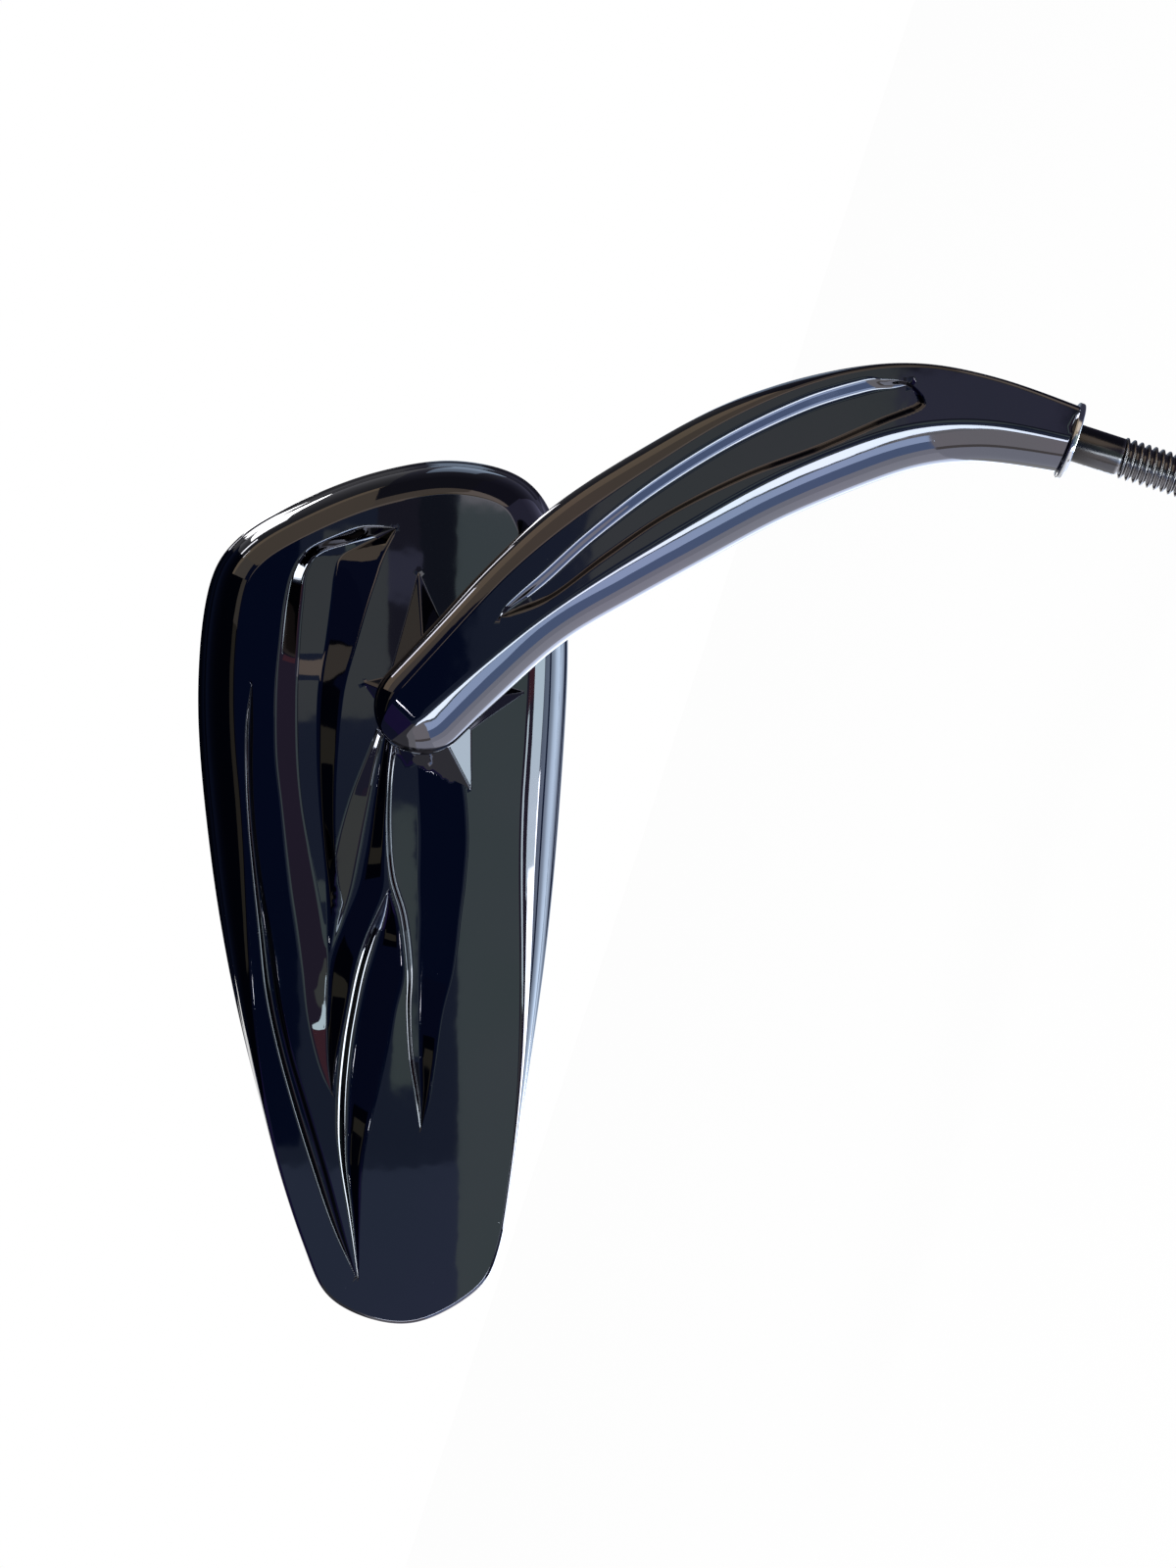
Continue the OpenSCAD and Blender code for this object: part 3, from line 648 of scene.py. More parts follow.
def band_rings():
    """From the field's edge over its rounded crease and down the sloping band."""
    out = []
    rim = rim_width(LIP[:, 1])
    round_over = np.minimum(CREASE_ROUND, CREASE_SHARE * rim * BAND_SHARE)
    slope = BAND_DROP / (BAND_SHARE * RIM_WIDE)
    for off in CREASE_ROWS:
        x = -off * np.minimum(1, rim / FULL_CREASE)
        p = rim_point(1.0) - LIP_IN * x[:, None]
        out.append(np.column_stack([p, field_w(*p.T) - slope * soft_ramp(x, round_over)]))
    return out


def rim_rings():
    return [rim_ring(share, height) for share, height in spline(RIM_PROFILE, 3)[::-1]]


print("Rings on the rim:", len(band_rings()) + len(rim_rings()))


# %% Rows for the star and the boss
BORE_POINTS, POST_POINTS = 120, 32
RIDGE_ROWS = (-0.5, -0.34, -0.2, -0.1, 0, 0.1, 0.2, 0.34, 0.5)


def circle(radius, w, n):
    a = np.arange(n) * 2 * math.pi / n
    return np.column_stack([radius * np.cos(a), radius * np.sin(a), np.full(n, w)])


def star_rows():
    """Rows along the star's ridges and outlines, and circles round the boss."""
    out = []
    t = np.linspace(0, 1, 90)[:, None]
    for u, v, half in STAR:
        tip = np.array([u, v])
        side = np.array([v, -u]) / math.hypot(u, v)
        ridge = field_w(u, v) + (STAR_TOP - field_w(u, v)) * t[:, 0]
        for hand in (0, 1, -1):
            beside = np.zeros(len(t))
            # The foot lies where the slope meets the crowned field. Four rounds settle it.
            for _ in range(4 * abs(hand)):
                foot = tip * (1 - t) + side * (hand * beside)[:, None]
                beside = half * (ridge - field_w(*foot.T)) / (STAR_TOP - STAR_FOOT)
            line = tip * (1 - t) + side * (hand * beside)[:, None]
            # The rows close up at the ridge's tip, where t is 0.
            for off in RIDGE_ROWS:
                out.append(line + side * off * np.minimum(1, t * 8))
    for r in np.arange(BOSS_FLAT + 0.3, 10, 0.2):
        out.append(circle(r, 0, int(r * 16))[:, :2])
    return np.concatenate(out)


print("Points in the star's rows:", len(star_rows()))


# %% Relief, rim and roof
RELIEF_PITCH, ROOF_PITCH = 0.95, 4
BALL_W, SOCKET_R = -1.0, 7.06
SKIRT_R, SKIRT_END = SOCKET_R + 1.9, -5.4
HERE = np.arange(ROUND)
NEXT = (HERE + 1) % ROUND


def backwards(first):
    """A sheet's outer loop runs the other way round, so it is walked backwards."""
    return first + ROUND - 1 - HERE


def add_relief(skin, edge):
    """The sheet with hollows, star and boss. Gives its first index."""
    mouth = circle(BOSS_FLAT, 0, BORE_POINTS)[:, :2]
    rows = np.concatenate([h.rows() for h in HOLLOWS] + [star_rows()])
    flat, faces = sheet(edge[::-1, :2], [mouth], rows, RELIEF_PITCH)
    first = skin.add(np.column_stack([flat, back_w(flat)]), height_normals(flat, back_w))
    skin.faces += (faces + first).tolist()
    return first


def add_rim(skin, relief, band):
    """Out over the band, round the lip and up the inner wall. Gives the last ring."""
    loop, at = backwards(relief), skin.add(band[1])
    skin.faces += np.stack([loop, loop[NEXT], at + NEXT, at + HERE], axis=1).tolist()
    rings = band[2:] + rim_rings() + [lip_ring(*row) for row in LIP_PROFILE]
    rings += [rim_ring(share, height, WALL, REBATE, WALL) for share, height in INNER_PROFILE]
    rings += [field_ring(WALL, WALL + BAND_DROP)]
    return skin.rings(rings, start=at)[-1]


def add_roof(skin, wall):
    """The inner roof, with a hole for the socket. Gives its first index."""
    skirt = circle(SKIRT_R, 0, BORE_POINTS)[:, :2]
    flat, faces = sheet(rim_point(1.0, WALL + 2)[::-1], [skirt], np.zeros((0, 2)), ROOF_PITCH)
    roof = skin.add(np.column_stack([flat, field_w(*flat.T) - ROOF]))
    skin.faces += (faces[:, ::-1] + roof).tolist()
    loop = backwards(roof)
    skin.faces += np.stack([wall + HERE, wall + NEXT, loop[NEXT], loop], axis=1).tolist()
    return roof


# %% Socket and screw posts
POST_AT, POST_R, POST_BORE, POST_TOP, POST_END = 12.5, 3.1, 1.62, -3.0, -9.6
BALL_STEPS = 10


def add_socket(skin, down, mouth):
    """Down its skirt, up the bore, over the ball and out of the boss's mouth."""
    profile = [(SKIRT_R, SKIRT_END + 0.2), (SKIRT_R - 0.2, SKIRT_END),
               (SOCKET_R + 0.15, SKIRT_END), (SOCKET_R, SKIRT_END + 0.15), (SOCKET_R, BALL_W)]
    over = np.linspace(0, math.acos(MOUTH_R / SOCKET_R), BALL_STEPS)[1:]
    profile += [(SOCKET_R * math.cos(a), BALL_W + SOCKET_R * math.sin(a)) for a in over]
    profile += [(MOUTH_R, BOSS_TOP - 0.3), (MOUTH_R + 0.09, BOSS_TOP - 0.09),
                (MOUTH_R + 0.3, BOSS_TOP)]
    rings = [circle(r, w, BORE_POINTS) for r, w in profile]
    last = skin.rings(rings, start=down, flip=True)[-1]
    skin.join(last, mouth, BORE_POINTS, flip=True)


def add_posts(skin):
    """Three screw posts under the roof, each a closed tube."""
    tube = [(POST_R, POST_TOP), (POST_R, POST_END + 0.2), (POST_R - 0.2, POST_END),
            (POST_BORE, POST_END), (POST_BORE, POST_TOP)]
    for k in range(3):
        a = math.radians(90 + 120 * k)
        centre = POST_AT * np.array([math.cos(a), math.sin(a)])
        ends = skin.rings([circle(r, w, POST_POINTS) + (*centre, 0) for r, w in tube])
        skin.join(ends[-1], ends[0], POST_POINTS)


# %% Build the head
def build_housing():
    skin = Skin()
    band = band_rings()
    relief = add_relief(skin, band[0])
    roof = add_roof(skin, add_rim(skin, relief, band))
    add_socket(skin, roof + ROUND, relief + ROUND)
    add_posts(skin)
    return skin.build("head_casting", from_head)


head_casting = build_housing()
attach(head_casting, "head")
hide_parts("housing")

# %% [markdown]
# ## The arm casting
# The arm is one sweep: a section with a flat face, a narrow side above and a broad one
# below, carried along a curved line from the ball joint to the stud. Its end at the joint
# closes in a dome. A curve with a bevel object would sweep one section only, and this one
# changes all the way. The face has a long recess, so the face is a sheet like the head's
# relief and the rest is a row of rings.

# %% Arm line, section and recess
ARM_LINE = [
    # x, y, half the width, the face's upper edge above the line and its lower edge below it
    (-124.4, -50.2, 9.5, 5.2, 1.8), (-115.6, -41.3, 9.7, 5.7, 2.8),
    (-103.8, -29.8, 10.5, 6.5, 4.6), (-91.1, -20.5, 12, 7.4, 5.2),
    (-75.8, -11.5, 12.5, 8.6, 5), (-61.4, -3.8, 12.5, 9.6, 4.6), (-46, 1.8, 11.7, 10.4, 3.6),
    (-31.3, 5, 10.1, 9.6, 2.5), (-16.5, 4.2, 8, 7.5, 1.2), (-1.14, 0.37, 6.4, 5.6, 0.6),
]
# Half the thickness, how far the arm sinks back along x, rounding of the face's edges.
ARM_H, ARM_SINK, ARM_EDGE = 6.5, 6 / 124.4, 0.75
RECESS_DEPTH, RECESS_SOFT = 1.2, 0.7
RECESS = [
    (-109.4, -33.3, -109.2, -33.5, 0.4, 0.6), (-107.9, -31.2, -106.7, -32.9, 0.35, 0.7),
    (-101.5, -25.6, -99.3, -29.7, 0.3, 0.88), (-92.5, -17.5, -88.8, -22, 0.24, 0.9),
    (-80, -7.6, -77, -14.1, 0.28, 0.92), (-66, 1.2, -62.6, -7, 0.26, 0.93),
    (-52, 7.9, -48.8, -2, 0.24, 0.93), (-41, 11.2, -36.6, 3.2, 0.26, 0.92),
    (-36.6, 11.2, -29.6, 6, 0.24, 0.9), (-34.9, 11.1, -29.3, 8, 0.26, 0.85),
    (-33.2, 11, -30.4, 9.5, 0.3, 0.75), (-31.7, 10.7, -31.4, 10.5, 0.4, 0.6),
]
# Sections along the arm, and how many of them turn to face along the stud.
STATIONS, TURNING = 300, 40
arm_line = averaged(even(spline(ARM_LINE, 30), STATIONS), 8)
ahead = unit(np.gradient(arm_line[:, :2], axis=0))
stud_way = np.array([math.cos(STUD_SLOPE), -math.sin(STUD_SLOPE)])
bend = np.clip((np.arange(STATIONS) - STATIONS + TURNING) / (TURNING - 1), 0, 1)[:, None]
ARM_AHEAD = unit(ahead * (1 - bend) + stud_way * bend)
ARM_ACROSS = np.column_stack([-ARM_AHEAD[:, 1], ARM_AHEAD[:, 0]])
recess = Hollow(RECESS, RECESS_DEPTH, edge=RECESS_SOFT, foot=RECESS_SOFT, cap=0.33, step=0.4)
print("Arm: %d stations over %.1f mm" % (STATIONS, np.linalg.norm(
    np.diff(arm_line[:, :2], axis=0), axis=1).sum()))


# %% Section of the arm
def arm_section(half, above, below):
    """Side and underside of the section, from the face's upper edge round to its lower."""
    h, a, b = ARM_H, half - above, half - below
    corner = [(above, h), (above + a * 0.55, h * 0.8), (above + a * 0.9, h * 0.45), (half, 0),
              (half * 0.96, -h * 0.4), (half * 0.84, -h * 0.75), (half * 0.6, -h * 0.95),
              (half * 0.25, -h), (-half * 0.25, -h), (-half * 0.6, -h * 0.95),
              (-half * 0.84, -h * 0.75), (-half * 0.96, -h * 0.4), (-half, 0),
              (-below - b * 0.88, h * 0.42), (-below - b * 0.52, h * 0.78), (-below, h)]
    line = averaged(even(spline(corner, 8), 44), 1.0)
    t = np.linspace(0, 1, 7)[:, None]

    def round_off(p, q, toward):
        """Small arc from the face to the side at a face edge."""
        start, end = p + (toward * ARM_EDGE, 0), p + unit(q - p) * ARM_EDGE
        return start * (1 - t) ** 2 + p * 2 * t * (1 - t) + end * t**2

    first = round_off(line[0], line[1], -1)
    last = round_off(line[-1], line[-2], 1)[::-1]
    return np.concatenate([first, line[1:-1], last])


def arm_points(centre, across, section, wide=1.0, high=1.0):
    """A section laid across the arm at its place."""
    xy = centre + np.outer(section[:, 0] * wide, across)
    return np.column_stack([xy, xy[:, 0] * ARM_SINK + section[:, 1] * high])


def face_height(p):
    return p[:, 0] * ARM_SINK + ARM_H - recess.depth_at(p)


FACE_POINTS = 14
SIDES = [arm_section(*row[2:]) for row in arm_line]
SIDE_POINTS = len(SIDES[0])
LOOP_POINTS = SIDE_POINTS + FACE_POINTS
shares = np.linspace(0, 1, FACE_POINTS + 2)[1:-1, None]
FACES = [side[-1] + (side[0] - side[-1]) * shares for side in SIDES]
assert all(len(side) == SIDE_POINTS for side in SIDES), "the sections differ in count"
print("Points round a section:", LOOP_POINTS)


# %% Dome and sides
DOME_RINGS, DOME_CROWD, DOME_FLAT = 26, 1.6, 0.55


def add_dome(skin):
    """Closed rings that shrink towards the arm's tip. Gives the last ring."""
    way = ARM_AHEAD[0] * arm_line[0, 2]
    tip = skin.add(arm_points(arm_line[0, :2] - way, ARM_ACROSS[0], np.zeros((1, 2))))
    whole = np.concatenate([SIDES[0], FACES[0]])
    rings = []
    for t in np.linspace(0.04, 1, DOME_RINGS):
        a = math.radians(90 * (1 - t**DOME_CROWD))
        rings.append(arm_points(arm_line[0, :2] - way * math.sin(a), ARM_ACROSS[0], whole,
                                math.cos(a), math.cos(a) ** DOME_FLAT))
    at = skin.rings(rings)
    skin.faces += [[tip, at[0] + (i + 1) % LOOP_POINTS, at[0] + i] for i in range(LOOP_POINTS)]
    return at[-1]


def add_sides(skin, dome):
    """Sides and underside: open rows, with the face left out. Gives the rows."""
    edge_normals = np.zeros((SIDE_POINTS, 3))
    edge_normals[[0, -1]] = unit(np.array([[-ARM_SINK, 0, 1.0]]))
    rows = [dome] + [skin.add(arm_points(arm_line[i, :2], ARM_ACROSS[i], SIDES[i]),
                              edge_normals) for i in range(1, STATIONS)]
    j = np.arange(SIDE_POINTS - 1)
    for a, b in zip(rows, rows[1:]):
        skin.faces += np.stack([a + j, a + j + 1, b + j + 1, b + j], axis=1).tolist()
    return rows


# %% Face and stud end
FACE_PITCH, FACE_INSET = 1.1, 0.2
BORE_R, BORE_DEEP = 4.02, 14.3


def add_face(skin, rows, end_row):
    """The face. Its loop runs along the lower edge, up the stud end, back and down the dome."""
    low = SIDE_POINTS - 1
    loop = [row + low for row in rows] + [end_row + i for i in range(FACE_POINTS)]
    loop += rows[::-1] + [rows[0] + SIDE_POINTS + i for i in range(FACE_POINTS)][::-1]
    points = np.concatenate(skin.points)[:, :2]
    upper, lower = points[rows], points[[row + low for row in rows]]
    inset = FACE_INSET * unit(lower - upper)
    bends = np.concatenate([recess.rows(), upper + inset, lower - inset])
    flat, faces = sheet(points[loop], [], bends, FACE_PITCH)
    flat = flat[len(loop):]
    inner = skin.add(np.column_stack([flat, face_height(flat)]), height_normals(flat, face_height))
    number = np.array(loop + list(range(inner, skin.count)))
    skin.faces += number[faces].tolist()


def add_stud_end(skin, row, end_row):
    """A flat end face with the stud's bore."""
    end, across = arm_line[-1, :2], ARM_ACROSS[-1]
    local = np.concatenate([SIDES[-1], FACES[-1]])
    angle = np.arctan2(local[:, 1], local[:, 0])
    bore = BORE_R * np.column_stack([np.cos(angle), np.sin(angle)])
    ring = list(range(row, row + SIDE_POINTS)) + list(range(end_row, end_row + FACE_POINTS))
    rim = skin.add(arm_points(end, across, bore))
    deep = skin.add(arm_points(end - stud_way * BORE_DEEP, across, bore))
    bottom = skin.add(arm_points(end - stud_way * BORE_DEEP, across, np.zeros((1, 2))))
    for i in range(LOOP_POINTS):
        o = (i + 1) % LOOP_POINTS
        skin.faces += [[ring[i], ring[o], rim + o, rim + i],
                       [rim + i, rim + o, deep + o, deep + i]]
    skin.faces += [[bottom, deep + i, deep + (i + 1) % LOOP_POINTS] for i in range(LOOP_POINTS)]


# %% Build the arm
def build_arm():
    skin = Skin()
    rows = add_sides(skin, add_dome(skin))
    end_row = skin.add(arm_points(arm_line[-1, :2], ARM_ACROSS[-1], FACES[-1]))
    add_face(skin, rows, end_row)
    add_stud_end(skin, rows[-1], end_row)
    return skin.build("arm_casting", upright)


arm_casting = build_arm()
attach(arm_casting, "arm")
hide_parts("arm")

# %% [markdown]
# ## The mounting stud
# A stud with a rolled thread of 18 turns to the inch. A bump pattern would do from far away,
# but the thread is seen against the light, so it is real: one turn of its profile is drawn by
# extruding a single vertex, the Screw modifier winds it, and two bisect cuts close its ends.
# The shank and the end held in the arm are plain turned cylinders.

# %% Sizes of the stud, and small helpers
PITCH = 25.4 / 18
THREAD_R, SHANK_R, CHAMFER = 3.97, 3.65, 1.0
THREAD_TOP, THREAD_END, SHANK_TOP, STUD_TOP = -9.5, -31.0, 1.3, 14.2
# Radius and height over one turn, from crest to crest.
THREAD_PROFILE = [
    (3.97, 0), (3.97, 0.15), (3.93, 0.21), (3.6, 0.4), (3.24, 0.6), (3.15, 0.68), (3.13, 0.78),
    (3.15, 0.88), (3.24, 0.96), (3.6, 1.17), (3.93, 1.35), (3.97, PITCH),
]


def deselect():
    bpy.ops.object.select_all(action="DESELECT")


def make_active(obj):
    deselect()
    obj.select_set(True)
    bpy.context.view_layer.objects.active = obj


def apply_modifiers(obj):
    make_active(obj)
    for modifier in list(obj.modifiers):
        bpy.ops.object.modifier_apply(modifier=modifier.name)


def finished(obj, name, sharp):
    """Smooth shading up to an angle in degrees, the piece's name, and its count of faces."""
    bpy.ops.object.shade_smooth_by_angle(angle=math.radians(sharp))
    obj.name = name
    obj.data.name = name
    print(name, "faces:", len(obj.data.polygons))
    return obj


# %% Thread
TURNS, TURN_STEPS = 20, 64


def wind_thread():
    """One turn's profile, extruded from a vertex and wound along the stud."""
    deselect()
    bpy.ops.mesh.primitive_plane_add(size=MM, location=(0, 0, 0))
    thread = bpy.context.object
    bpy.ops.object.mode_set(mode="EDIT")
    bpy.ops.mesh.merge(type="CENTER")
    start = (THREAD_PROFILE[0][0] * MM, 0, (THREAD_END - 2 * PITCH) * MM)
    bpy.ops.transform.translate(value=start)
    for (r0, z0), (r1, z1) in zip(THREAD_PROFILE, THREAD_PROFILE[1:]):
        bpy.ops.mesh.extrude_vertices_move(
            TRANSFORM_OT_translate={"value": ((r1 - r0) * MM, 0, (z1 - z0) * MM)})
    bpy.ops.object.mode_set(mode="OBJECT")
    screw = thread.modifiers.new("wind", "SCREW")
    screw.axis, screw.angle, screw.screw_offset = "Z", 2 * math.pi, PITCH * MM
    screw.iterations, screw.steps, screw.render_steps = TURNS, TURN_STEPS, TURN_STEPS
    screw.use_merge_vertices, screw.merge_threshold = True, 1e-6
    apply_modifiers(thread)
    return thread


def cut_ends(thread):
    """Two cuts with filled faces, then the tip's chamfer: no point stands outside a cone."""
    bpy.ops.object.mode_set(mode="EDIT")
    bpy.ops.mesh.select_all(action="SELECT")
    bpy.ops.mesh.remove_doubles(threshold=2e-6)
    for height, outer in ((THREAD_END, False), (THREAD_TOP, True)):
        bpy.ops.mesh.select_all(action="SELECT")
        bpy.ops.mesh.bisect(plane_co=(0, 0, height * MM), plane_no=(0, 0, 1), use_fill=True,
                            clear_outer=outer, clear_inner=not outer, threshold=1e-7)
    bpy.ops.mesh.select_all(action="SELECT")
    bpy.ops.mesh.normals_make_consistent(inside=False)
    bpy.ops.object.mode_set(mode="OBJECT")
    for vertex in thread.data.vertices:
        radius = math.hypot(vertex.co.x, vertex.co.y)
        most = (THREAD_R - CHAMFER) * MM + vertex.co.z - THREAD_END * MM
        if radius > most:
            vertex.co.x *= most / radius
            vertex.co.y *= most / radius


# %% Plain lengths, and the stud joined
STUD_BEVEL = 0.2


def plain_cylinder(radius, low, high):
    """A turned cylinder between two heights, with its edges broken."""
    deselect()
    bpy.ops.mesh.primitive_cylinder_add(vertices=96, radius=radius * MM, depth=(high - low) * MM,
                                        location=(0, 0, (high + low) / 2 * MM))
    bpy.ops.object.transform_apply(location=True)
    part = bpy.context.object
    bevel = part.modifiers.new("edge", "BEVEL")
    bevel.width, bevel.segments = STUD_BEVEL * MM, 3
    apply_modifiers(part)
    return part


def build_stud():
    thread = wind_thread()
    cut_ends(thread)
    parts = [plain_cylinder(SHANK_R, THREAD_TOP, SHANK_TOP),
             plain_cylinder(THREAD_R, SHANK_TOP, STUD_TOP)]
    make_active(thread)
    for part in parts:
        part.select_set(True)
    bpy.ops.object.join()
    return finished(thread, "threaded_stud", 40)


threaded_stud = build_stud()
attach(threaded_stud, "arm")
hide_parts("mounting_stud")

# %% [markdown]
# ## The collar washer
# A thin polished washer between the arm's end and the bracket. A profile could be spun, but
# a washer is quicker: a cylinder is added, its hole is made by insetting both end faces and
# bridging them, and its edges are rounded.

# %% Washer
COLLAR_R, COLLAR_HOLE, COLLAR_T, COLLAR_BEVEL = 7.5, 4.12, 1.2, 0.28


def build_collar():
    deselect()
    bpy.ops.mesh.primitive_cylinder_add(vertices=144, radius=COLLAR_R * MM, depth=COLLAR_T * MM,
                                        location=(0, 0, COLLAR_T / 2 * MM))
    bpy.ops.object.transform_apply(location=True)
    collar = bpy.context.object
    bpy.ops.object.mode_set(mode="EDIT")
    bm = bmesh.from_edit_mesh(collar.data)
    for face in bm.faces:
        face.select_set(abs(face.normal.z) > 0.9)
    bmesh.update_edit_mesh(collar.data)
    bpy.ops.mesh.inset(thickness=(COLLAR_R - COLLAR_HOLE) * MM)
    bpy.ops.mesh.bridge_edge_loops()
    bpy.ops.object.mode_set(mode="OBJECT")
    bevel = collar.modifiers.new("edge", "BEVEL")
    bevel.width, bevel.segments, bevel.limit_method = COLLAR_BEVEL * MM, 4, "ANGLE"
    bevel.angle_limit = math.radians(50)
    apply_modifiers(collar)
    return finished(collar, "polished_collar", 35)


polished_collar = build_collar()
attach(polished_collar, "arm")
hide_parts("collar_washer")

# %% [markdown]
# ## Glass and gasket
# The mirror glass fills the lip, held in a rubber ring. Cutting them from a sheet by a
# boolean would leave long thin faces. Both have the lip's outline, so a circle is added with
# as many vertices as the lip curve has points, each vertex is carried to the outline, and the
# profile is drawn by extruding the loop again and again.

# %% Sheet and ring with the lip's outline
LIP_TILT = math.atan(LIP_SLOPE)


def lip_level(inset, depth):
    """Lip outline, inset, at a depth measured square to the lip's plane."""
    p = LIP + LIP_IN * inset
    return from_head(np.column_stack([p[:, 0], p[:, 1] + depth * math.sin(LIP_TILT),
                                      lip_w(p[:, 1]) + depth * math.cos(LIP_TILT)]))


def carry(mesh, places):
    """Moves the selected vertices, in the order of their index, to new places."""
    bm = bmesh.from_edit_mesh(mesh)
    picked = [v for v in bm.verts if v.select]
    for vertex, place in zip(picked, places):
        vertex.co = place
    bmesh.update_edit_mesh(mesh)


def lip_piece(name, profile, ring):
    """A closed ring from the profile, or a sheet whose first and last loops are filled."""
    deselect()
    bpy.ops.mesh.primitive_circle_add(vertices=ROUND, radius=0.05, location=(0, 0, 0))
    obj = bpy.context.object
    bpy.ops.object.mode_set(mode="EDIT")
    bpy.ops.mesh.select_all(action="SELECT")
    carry(obj.data, lip_level(*profile[0]))
    if not ring:
        bpy.ops.mesh.edge_face_add()
    for inset, depth in profile[1:]:
        if ring:
            bpy.ops.mesh.extrude_edges_move()
        else:
            bpy.ops.mesh.extrude_region_move()
        carry(obj.data, lip_level(inset, depth))
    if ring:
        bpy.ops.mesh.select_mode(type="EDGE")
        bpy.ops.mesh.select_all(action="DESELECT")
        bpy.ops.mesh.select_non_manifold(use_wire=False, use_multi_face=False,
                                         use_non_contiguous=False, use_verts=False)
        bpy.ops.mesh.bridge_edge_loops()
        bpy.ops.mesh.select_mode(type="VERT")
    bpy.ops.mesh.select_all(action="SELECT")
    bpy.ops.mesh.normals_make_consistent(inside=False)
    bpy.ops.object.mode_set(mode="OBJECT")
    finished(obj, name, 35)
    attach(obj, "head")
    return obj


# %% The two pieces
# Insets from the lip's outline, and heights over its plane.
GASKET_OUT, GLASS_IN = 1.62, 2.6
GLASS_LOW, GLASS_HIGH, GASKET_HIGH = 0.6, 2.6, 3.6
cut_glass = lip_piece("cut_glass", [
    (GLASS_IN, GLASS_HIGH), (GLASS_IN, GLASS_LOW + 0.35), (GLASS_IN + 0.12, GLASS_LOW + 0.1),
    (GLASS_IN + 0.35, GLASS_LOW)], ring=False)
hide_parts("mirror_glass")
rubber_ring = lip_piece("rubber_ring", [
    (GASKET_OUT, GASKET_HIGH), (GASKET_OUT, GLASS_LOW + 0.2), (GASKET_OUT + 0.15, GLASS_LOW),
    (GLASS_IN - 0.17, GLASS_LOW), (GLASS_IN - 0.02, GLASS_LOW + 0.15),
    (GLASS_IN - 0.02, GASKET_HIGH)], ring=True)
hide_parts("glass_gasket")

# %% [markdown]
# ## Materials
# Shader sums read like sums: a small class wraps a socket, and adding or multiplying two of
# them adds the Math node that does it. Patterns read Object coordinates in metres.

# %% Node helpers
def put(tree, value, slot):
    """Links a socket or sets a constant."""
    if isinstance(value, Value):
        value = value.socket
    if isinstance(value, bpy.types.NodeSocket):
        tree.links.new(value, slot)
    else:
        slot.default_value = value


def add_node(tree, kind, settings, inputs):
    """A node of that type, its settings first, then its sockets' values or links."""
    node = tree.nodes.new(kind)
    for name, value in settings.items():
        setattr(node, name, value)
    for name, value in inputs.items():
        put(tree, value, node.inputs[name])
    return node


class Value:
    """A number socket that can be used in sums."""

    def __init__(self, tree, socket):
        self.tree, self.socket = tree, socket

    def math(self, operation, *others):
        inputs = dict(enumerate((self, *others)))
        node = add_node(self.tree, "ShaderNodeMath", {"operation": operation}, inputs)
        return Value(self.tree, node.outputs[0])

    def __add__(self, other):
        return self.math("ADD", other)

    def __sub__(self, other):
        return self.math("SUBTRACT", other)

    def __rsub__(self, other):
        return self * -1.0 + other

    def __mul__(self, other):
        return self.math("MULTIPLY", other)

    __radd__, __rmul__ = __add__, __mul__

    def above(self, low, high):
        """0 below low, 1 above high and smooth between."""
        node = add_node(self.tree, "ShaderNodeMapRange", {"interpolation_type": "SMOOTHSTEP"},
                        {"Value": self, "From Min": low, "From Max": high})
        return Value(self.tree, node.outputs["Result"])


# %% Material helper
class Material:
    """A material with a Principled BSDF and the patterns used here."""

    def __init__(self, name, **constants):
        self.material = bpy.data.materials.new(name)
        self.material.use_nodes = True
        self.tree = self.material.node_tree
        self.shader = self.tree.nodes["Principled BSDF"]
        self.set(**constants)
        self.coords = self.node("ShaderNodeTexCoord", {}, {}).outputs["Object"]

    def set(self, **sockets):
        """Sets or links sockets of the main shader, with _ for a space."""
        for name, value in sockets.items():
            put(self.tree, value, self.shader.inputs[name.replace("_", " ")])

    def surface(self, shader):
        """Puts another shader in the place of the main one."""
        put(self.tree, shader, self.tree.nodes["Material Output"].inputs["Surface"])

    def node(self, kind, settings, inputs):
        return add_node(self.tree, kind, settings, inputs)

    def noise(self, scale, detail=2.0, rough=0.5):
        node = self.node("ShaderNodeTexNoise", {}, {
            "Vector": self.coords, "Scale": scale, "Detail": detail, "Roughness": rough})
        return Value(self.tree, node.outputs["Fac"])

    def cells(self, scale):
        """Distance from the nearest point of a random pattern."""
        node = self.node("ShaderNodeTexVoronoi", {}, {"Vector": self.coords, "Scale": scale})
        return Value(self.tree, node.outputs["Distance"])

    def blend(self, factor, a, b):
        """A mix of two colours, which are sockets 6 and 7 of the Mix node."""
        node = self.node("ShaderNodeMix", {"data_type": "RGBA"}, {0: factor, 6: a, 7: b})
        return node.outputs[2]

    def bump(self, height, distance, strength):
        node = self.node("ShaderNodeBump", {}, {
            "Height": height, "Distance": distance, "Strength": strength})
        self.set(Normal=node.outputs["Normal"])


def rgba(r, g, b):
    return (r, g, b, 1.0)


# %% [markdown]
# ### Black chrome
# Black chrome is a thin, hard, very bright plating with a dark grey body colour and a trace
# of blue or violet. Polishing leaves a slow waviness of the surface, and a handled part has
# faint wiping haze and a few specks of dust. A picture could carry all that, but it would
# need seams on these flowing shapes, so it is made of noise that fills space.

# %% Black chrome
CHROME_BLUE, CHROME_VIOLET = rgba(0.095, 0.098, 0.11), rgba(0.105, 0.1, 0.118)
DUST_GREY = rgba(0.35, 0.35, 0.36)
WAVE_HEIGHT = 0.00006


